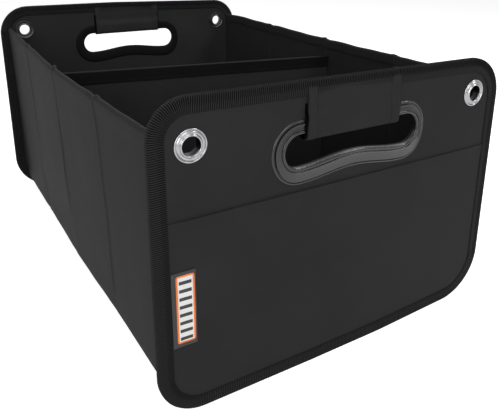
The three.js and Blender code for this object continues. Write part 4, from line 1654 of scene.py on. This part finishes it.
    def lining(self) -> None:
        """The lining: a sheet inside the boards, tucked under the hem."""
        y = self.columns(164)
        share = np.linspace(0.0, 1.0, 60)
        top = self.top(y)[:, None] - self.cloth - 0.3
        z = self.low + (top - self.low) * share[None, :]
        grid_y = np.broadcast_to(y[:, None], z.shape)
        x = self.face(grid_y, z) - self.lining_depth - self.relief(grid_y, z) * 0.9
        shell = grid_surface(x, grid_y, z, grid_y, z).thickened(self.cloth)
        piece = self.put("lining_cloth", shell, self.palette.lining, Slot.LINING, "lining")
        2.0 * self.end * MM
        self.lining_cut * MM

    def boards(self) -> None:
        """The four stiffening boards between the folds, hidden between cover and lining."""
        edges = (-self.end, *self.folds(), self.end)
        for number, (near, far) in enumerate(zip(edges[:-1], edges[1:]), start=1):
            y = np.linspace(near + self.board_margin, far - self.board_margin, 24)
            share = np.linspace(0.0, 1.0, 30)
            high = self.height - self.along(y, self.top_drops)[:, None] - self.board_drop
            margin = self.board_margin
            z = self.low + margin + (high - self.low - margin) * share[None, :]
            grid_y = np.broadcast_to(y[:, None], z.shape)
            x = self.face(grid_y, z) - self.board_depth
            shell = grid_surface(x, grid_y, z, grid_y, z).thickened(self.board_thickness)
            self.put(f"board_{number}_sheet", shell, self.palette.board, Slot.BOARD, f"board_{number}")

    def build(self) -> None:
        """Adds every piece of the wall."""
        self.cover()
        self.lining()
        self.boards()


@dataclass
class FloorHalf(Group):
    """One half of the floor: the cloth below its board and the lining on top."""

    name: str
    way: float
    palette: Palette
    walls: tuple[SideWall, SideWall]
    skew: float
    gap: float = 2.0
    room: float = 0.2
    cloth: float = 0.6
    cover_level: float = 20.3
    board_level: float = 21.8
    lining_level: float = 23.3
    board_thickness: float = 2.2
    board_inset: float = 3.0
    cut_width: float = 324.4

    @property
    def prefix(self) -> str:
        """The start of the names of this half's pieces."""
        return f"{self.name}_floor_"

    def wall_line(self, number: int, y: np.ndarray, level: float, inset: float) -> np.ndarray:
        """X of the sheet's edge along the left wall (0) or the right wall (1)."""
        side = (-1.0, 1.0)[number]
        return side * (self.walls[number].inner(side * y, np.full(y.shape, level)) - self.room - inset)

    def sheet(self, level: float, swell: float, inset: float = 0.0) -> Surface:
        """A sheet from wall to wall and from the divider's line to the end panel.

        Along the box, the sheet starts on the divider's slanting line and ends straight: Y is the
        straight place plus X times the slant, which fades out towards the end panel.

        Args:
            level: Height of the sheet.
            swell: Height of its soft waves, which are flat along every edge.
            inset: How far each edge lies in.

        Returns:
            The sheet's middle surface.
        """
        step = np.linspace(0.0, 1.0, 84)[:, None]
        share = np.linspace(0.0, 1.0, 110)[None, :]
        first, last = self.gap / 2.0 + inset, self.walls[0].end - inset
        straight = self.way * (first + (last - first) * step)
        lines = []
        for number in (0, 1):
            line = self.wall_line(number, straight, level, inset)
            line = self.wall_line(number, straight + line * self.skew * (1.0 - step), level, inset)
            lines.append(line)
        x = lines[0] + (lines[1] - lines[0]) * share
        y = straight + x * self.skew * (1.0 - step)
        calm = smooth_step(0.5 - np.abs(share - 0.5), 0.0, 0.1)
        calm = calm * smooth_step(step, 0.0, 0.1) * smooth_step(1.0 - step, 0.0, 0.1)
        waves = 0.5 + 0.5 * np.sin(x / 31.0 + 0.7) * np.sin(y / 27.0 + 1.1)
        return grid_surface(x, y, level + swell * waves * calm, x, y)

    def build(self) -> None:
        """Adds the two cloths and the board between them."""
        board = self.sheet(self.board_level, 0.0, self.board_inset).thickened(self.board_thickness)
        self.put("board_sheet", board, self.palette.board, Slot.BOARD, "board")
        flat = (self.cut_width * MM, (self.walls[0].end - self.gap / 2.0) * MM)
        for suffix, level, swell, material, slot in (
            ("cover", self.cover_level, 0.0, self.palette.cloth, Slot.CLOTH),
            ("lining", self.lining_level, 0.5, self.palette.lining, Slot.LINING),
        ):
            surface = self.sheet(level, swell).thickened(self.cloth)
            piece = self.put(f"{suffix}_cloth", surface, material, slot, suffix)


@dataclass
class Divider(Group):
    """The divider: a board between two cloth faces, and a stitched hem band over the top edge."""

    prefix = "divider_"

    palette: Palette
    turn: float = math.radians(-2.8)
    foot: float = 23.9
    half: float = 161.5
    top_left: float = 213.3
    top_right: float = 203.8
    foot_draw: float = 6.0
    hem: float = 13.0
    cloth: float = 0.6
    skin: float = 1.6
    band: float = 2.5
    cut_height: float = 182.0
    lean_top: float = 222.0
    lean_height: float = 202.0
    board_inset: float = 3.2
    board_foot: float = 3.0
    board_drop: float = 3.7
    board_thickness: float = 2.0

    def top(self, x: np.ndarray) -> np.ndarray:
        """Height of the top edge, straight from the left end to the right end."""
        return np.interp(x, [-self.half, self.half], [self.top_left, self.top_right])

    def narrowed(self, x: np.ndarray, z: np.ndarray) -> np.ndarray:
        """X drawn in towards the foot, where the side walls lean in."""
        drop = np.clip((self.lean_top - z) / self.lean_height, 0.0, 1.0)
        return x * (1.0 - self.foot_draw / self.half * drop)

    def swell(self, x: np.ndarray, z: np.ndarray) -> np.ndarray:
        """Slow waves of the cloth, flat along every edge."""
        calm = smooth_step(self.half - np.abs(x), 0.0, 40.0) * smooth_step(z, self.foot, self.foot + 40.0)
        waves = 0.5 + 0.3 * np.sin(x / 37.0 + 0.4) * np.sin(z / 41.0) + 0.2 * np.sin(x / 15.0 + z / 33.0)
        return 0.9 * calm * waves

    def place(self, points: np.ndarray) -> np.ndarray:
        """Turns the divider about the vertical line through the middle of the box."""
        cos, sin = math.cos(self.turn), math.sin(self.turn)
        x, y = points[:, 0], points[:, 1]
        return np.stack([cos * x - sin * y, sin * x + cos * y, points[:, 2]], axis=1)

    def faces(self) -> None:
        """The two cloth faces, tucked under the hem band."""
        x = np.linspace(-self.half, self.half, 130)
        share = np.linspace(0.0, 1.0, 76)
        for suffix, way in (("front_cloth", -1.0), ("back_cloth", 1.0)):
            top = self.top(x)[:, None] - 0.9
            z = self.foot + (top - self.foot) * share[None, :]
            grid_x = np.broadcast_to(x[:, None], z.shape)
            under_band = smooth_step(top - z, self.hem - 4.0, self.hem + 14.0)
            y = way * (self.skin + self.swell(grid_x * way, z) * under_band)
            surface = grid_surface(self.narrowed(grid_x, z), y, z, grid_x, z)
            shell = surface.thickened(self.cloth)
            piece = self.put(f"{suffix}_sheet", shell, self.palette.lining, Slot.LINING, suffix)
            2.0 * self.half * MM
            self.cut_height * MM

    def board(self) -> None:
        """The stiffening board between the two faces."""
        x = np.linspace(-self.half + self.board_inset, self.half - self.board_inset, 40)
        share = np.linspace(0.0, 1.0, 30)
        top = self.top(x)[:, None] - self.board_drop
        z = self.foot + self.board_foot + (top - self.foot - self.board_foot) * share[None, :]
        grid_x = np.broadcast_to(x[:, None], z.shape)
        surface = grid_surface(self.narrowed(grid_x, z), np.zeros(z.shape), z, grid_x, z)
        shell = surface.thickened(self.board_thickness)
        self.put("board_sheet", shell, self.palette.board, Slot.BOARD, "board")

    def hem_band(self) -> None:
        """The band: a sheet bent over the top edge, with a row of stitches on each face."""
        x = np.linspace(-self.half, self.half, 150)
        down = np.linspace(self.hem, 1.6, 9)
        bend = rounded(np.array([[self.band, 1.6], [self.band, 0.3], [-self.band, 0.3], [-self.band, 1.6]]),
                       3, closed=False)
        side = np.stack([np.full(len(down), self.band), down], axis=1)[:-1]
        path = np.vstack([side, bend, side[::-1] * np.array([-1.0, 1.0])])
        top = self.top(x)[:, None]
        grid_x = np.broadcast_to(x[:, None], (len(x), len(path)))
        sag = 0.5 * np.sin(x / 34.0 + 0.6) * np.sin(x / 13.0)
        z = top - path[None, :, 1] - 0.3
        y = np.broadcast_to(path[None, :, 0], z.shape) + sag[:, None] * 0.4
        surface = grid_surface(self.narrowed(grid_x, z), y, z, grid_x, path_lengths(path)[None, :])
        shell = surface.thickened(self.cloth)
        piece = self.put("hem_band_cloth", shell, self.palette.hem, Slot.TAPE, "hem_band")
        length = float(path_lengths(path)[-1])
        2.0 * self.half * MM
        rows = []
        for way in (-1.0, 1.0):
            level = self.top(x) - self.hem + 2.0
            points = np.stack([x, way * (self.band + self.cloth / 2.0) + sag * 0.4, level], axis=1)[1:-1]
            outwards = np.tile([0.0, way, 0.0], (len(points), 1))
            rows.append(HEM_STITCHES.along(points, outwards))
        self.put("hem_stitches", rows[0].joined(rows[1]), self.palette.thread, Slot.TAPE)

    def build(self) -> None:
        """Adds every piece of the divider."""
        self.faces()
        self.board()
        self.hem_band()


@dataclass
class PhotoCamera:
    """The camera of the photograph, worked out from the edges of both end panels."""

    azimuth: float = -32.79
    elevation: float = 20.13
    roll: float = 1.06
    place: tuple[float, float, float] = (-290.56, -572.72, 346.71)
    focal_pixels: float = 587.0
    centre: tuple[float, float] = (266.0, 146.0)
    image: tuple[int, int] = (499, 411)

    def build(self) -> None:
        """Makes the camera from its angles, focal length and image centre."""
        a, e, r = (math.radians(v) for v in (self.azimuth, self.elevation, self.roll))
        back = Vector((math.sin(a) * math.cos(e), -math.cos(a) * math.cos(e), math.sin(e)))
        right = Vector((0.0, 0.0, 1.0)).cross(back).normalized()
        up = back.cross(right)
        turned_right = math.cos(r) * right + math.sin(r) * up
        turned_up = -math.sin(r) * right + math.cos(r) * up
        data = bpy.data.cameras.new("photo_camera")
        data.sensor_width = 36.0
        data.lens = self.focal_pixels / self.image[0] * data.sensor_width
        data.shift_x = (self.image[0] / 2.0 - self.centre[0]) / self.image[0]
        data.shift_y = (self.centre[1] - self.image[1] / 2.0) / self.image[0]
        camera = added("photo_camera", data)
        columns = Matrix((turned_right, turned_up, back)).transposed()
        camera.matrix_world = Matrix.Translation(Vector(self.place) * MM) @ columns.to_4x4()
        bpy.context.scene.camera = camera


@dataclass
class Studio:
    """A pale floor, soft lamps and a white surround."""

    floor_size: float = 12000.0
    white: float = 0.8
    floor_glow: float = 0.88
    surround: float = 0.04

    def floor(self) -> None:
        """A square plane under the box, white in the camera's eye and with a soft shadow."""
        half = self.floor_size / 2.0
        side = np.linspace(-half, half, 9)
        x, y = np.meshgrid(side, side, indexing="ij")
        points = np.stack([x, y, np.zeros_like(x)], axis=-1).reshape(-1, 3)
        mesh = bpy.data.meshes.new("studio_floor")
        mesh.from_pydata((points * MM).tolist(), [], grid_quads(9, 9).tolist())
        desk = NodeDesk.for_material("studio_floor")
        paper = desk.node("ShaderNodeBsdfDiffuse", {}, {"Color": (self.white, self.white, self.white, 1.0)})
        glow = desk.node("ShaderNodeEmission", {}, {"Strength": desk.seen_directly() * self.floor_glow})
        both = desk.node("ShaderNodeAddShader", {}, {0: paper, 1: glow})
        desk.node("ShaderNodeOutputMaterial", {}, {0: both})
        mesh.materials.append(desk.owner)
        made = added("studio_floor", mesh)

    def lamp(self, name: str, place: tuple[float, float, float], size: float, power: float) -> None:
        """A square area lamp that faces the middle of the box."""
        data = bpy.data.lights.new(name, "AREA")
        data.shape = "SQUARE"
        data.size = size * MM
        data.energy = power
        made = added(name, data)
        place_m = Vector(place) * MM
        aim = Vector((0.0, 0.0, 120.0)) * MM
        made.location = place_m
        made.rotation_mode = "QUATERNION"
        made.rotation_quaternion = (aim - place_m).to_track_quat("-Z", "Y")

    def world(self) -> None:
        """A plain surround: soft light for the box, and white where it is looked at."""
        desk = NodeDesk(bpy.data.worlds.new("studio_world"))
        bpy.context.scene.world = desk.owner
        white = (1.0, 1.0, 1.0, 1.0)
        soft = desk.node("ShaderNodeBackground", {}, {"Color": white, "Strength": self.surround})
        plain = desk.node("ShaderNodeBackground", {}, {"Color": white, "Strength": 1.0})
        chosen = desk.node("ShaderNodeMixShader", {}, {0: desk.seen_directly(), 1: soft, 2: plain})
        desk.node("ShaderNodeOutputWorld", {}, {0: chosen})

    def build(self) -> None:
        """Sets up floor, lamps, surround and the plain view transform."""
        self.floor()
        self.lamp("top_softbox", (0.0, 0.0, 1700.0), 900.0, 7.5)
        self.lamp("front_softbox", (-300.0, -1300.0, 1200.0), 900.0, 10.0)
        self.lamp("left_softbox", (-1250.0, -1250.0, 700.0), 900.0, 13.0)
        self.lamp("edge_softbox", (900.0, 150.0, 1330.0), 450.0, 9.0)
        self.lamp("glint_lamp", (880.0, -740.0, 1150.0), 400.0, 6.0)
        self.world()
        bpy.context.scene.view_settings.view_transform = "Standard"


def dress_boards(palette: Palette) -> None:
    """Gives every CAD board that stays its fibre finish."""
    for name, node in frame["nodes"].items():
        if "_board" in name:
            node.data.materials.clear()
            node.data.materials.append(palette.board)


def main() -> None:
    """Builds the camera, the studio and every piece of the organizer."""
    logging.basicConfig(level=logging.INFO, format="%(name)s %(message)s")
    PhotoCamera().build()
    Studio().build()
    rib = 1.58
    palette = Palette.mixed(rib, FrontLabel.width, FrontLabel.height)
    front_sizes = PanelSizes(
        corners=((-174.0, 5.5, 44.0), (-45.0, 0.0, 400.0), (30.0, 0.0, 400.0), (170.0, 2.0, 38.0),
                 (170.0, 250.0, 30.0), (-164.8, 246.8, 38.0)),
        eyelets=(("left", 139.5, 216.0), ("right", -134.3, 216.0)),
        wrap_top=247.97,
    )
    back_sizes = PanelSizes(
        corners=((-173.2, 0.0, 45.0), (170.0, 0.0, 38.0), (170.0, 245.3, 34.0), (-20.0, 250.0, 400.0),
                 (-170.0, 250.0, 36.0)),
        eyelets=(("left", -141.0, 220.5), ("right", 139.5, 216.0)),
        wrap_top=248.45,
    )
    middle = 246.8
    front = EndPanel("front", PanelFrame(Facing.NEGATIVE, middle), palette, front_sizes, rib, phase=0.0)
    # The back wrap gets the painted shadow strips along both edges.
    back = EndPanel("back", PanelFrame(Facing.POSITIVE, middle), palette, back_sizes, rib, wrap_slack=0.6,
                    shadow_strip_sides=(-1.0, 1.0), phase=1.7)
    front.build()
    back.build()
    FrontLabel(front).build()
    left = SideWall("left", -1.0, palette, phase=0.4)
    right = SideWall("right", 1.0, palette, crown=1.6, hump=0.7, phase=2.1)
    left.build()
    right.build()
    divider = Divider(palette)
    FloorHalf("back", 1.0, palette, (left, right), math.tan(divider.turn)).build()
    FloorHalf("front", -1.0, palette, (left, right), math.tan(divider.turn)).build()
    divider.build()
    dress_boards(palette)


if __name__ == "__main__":
    main()
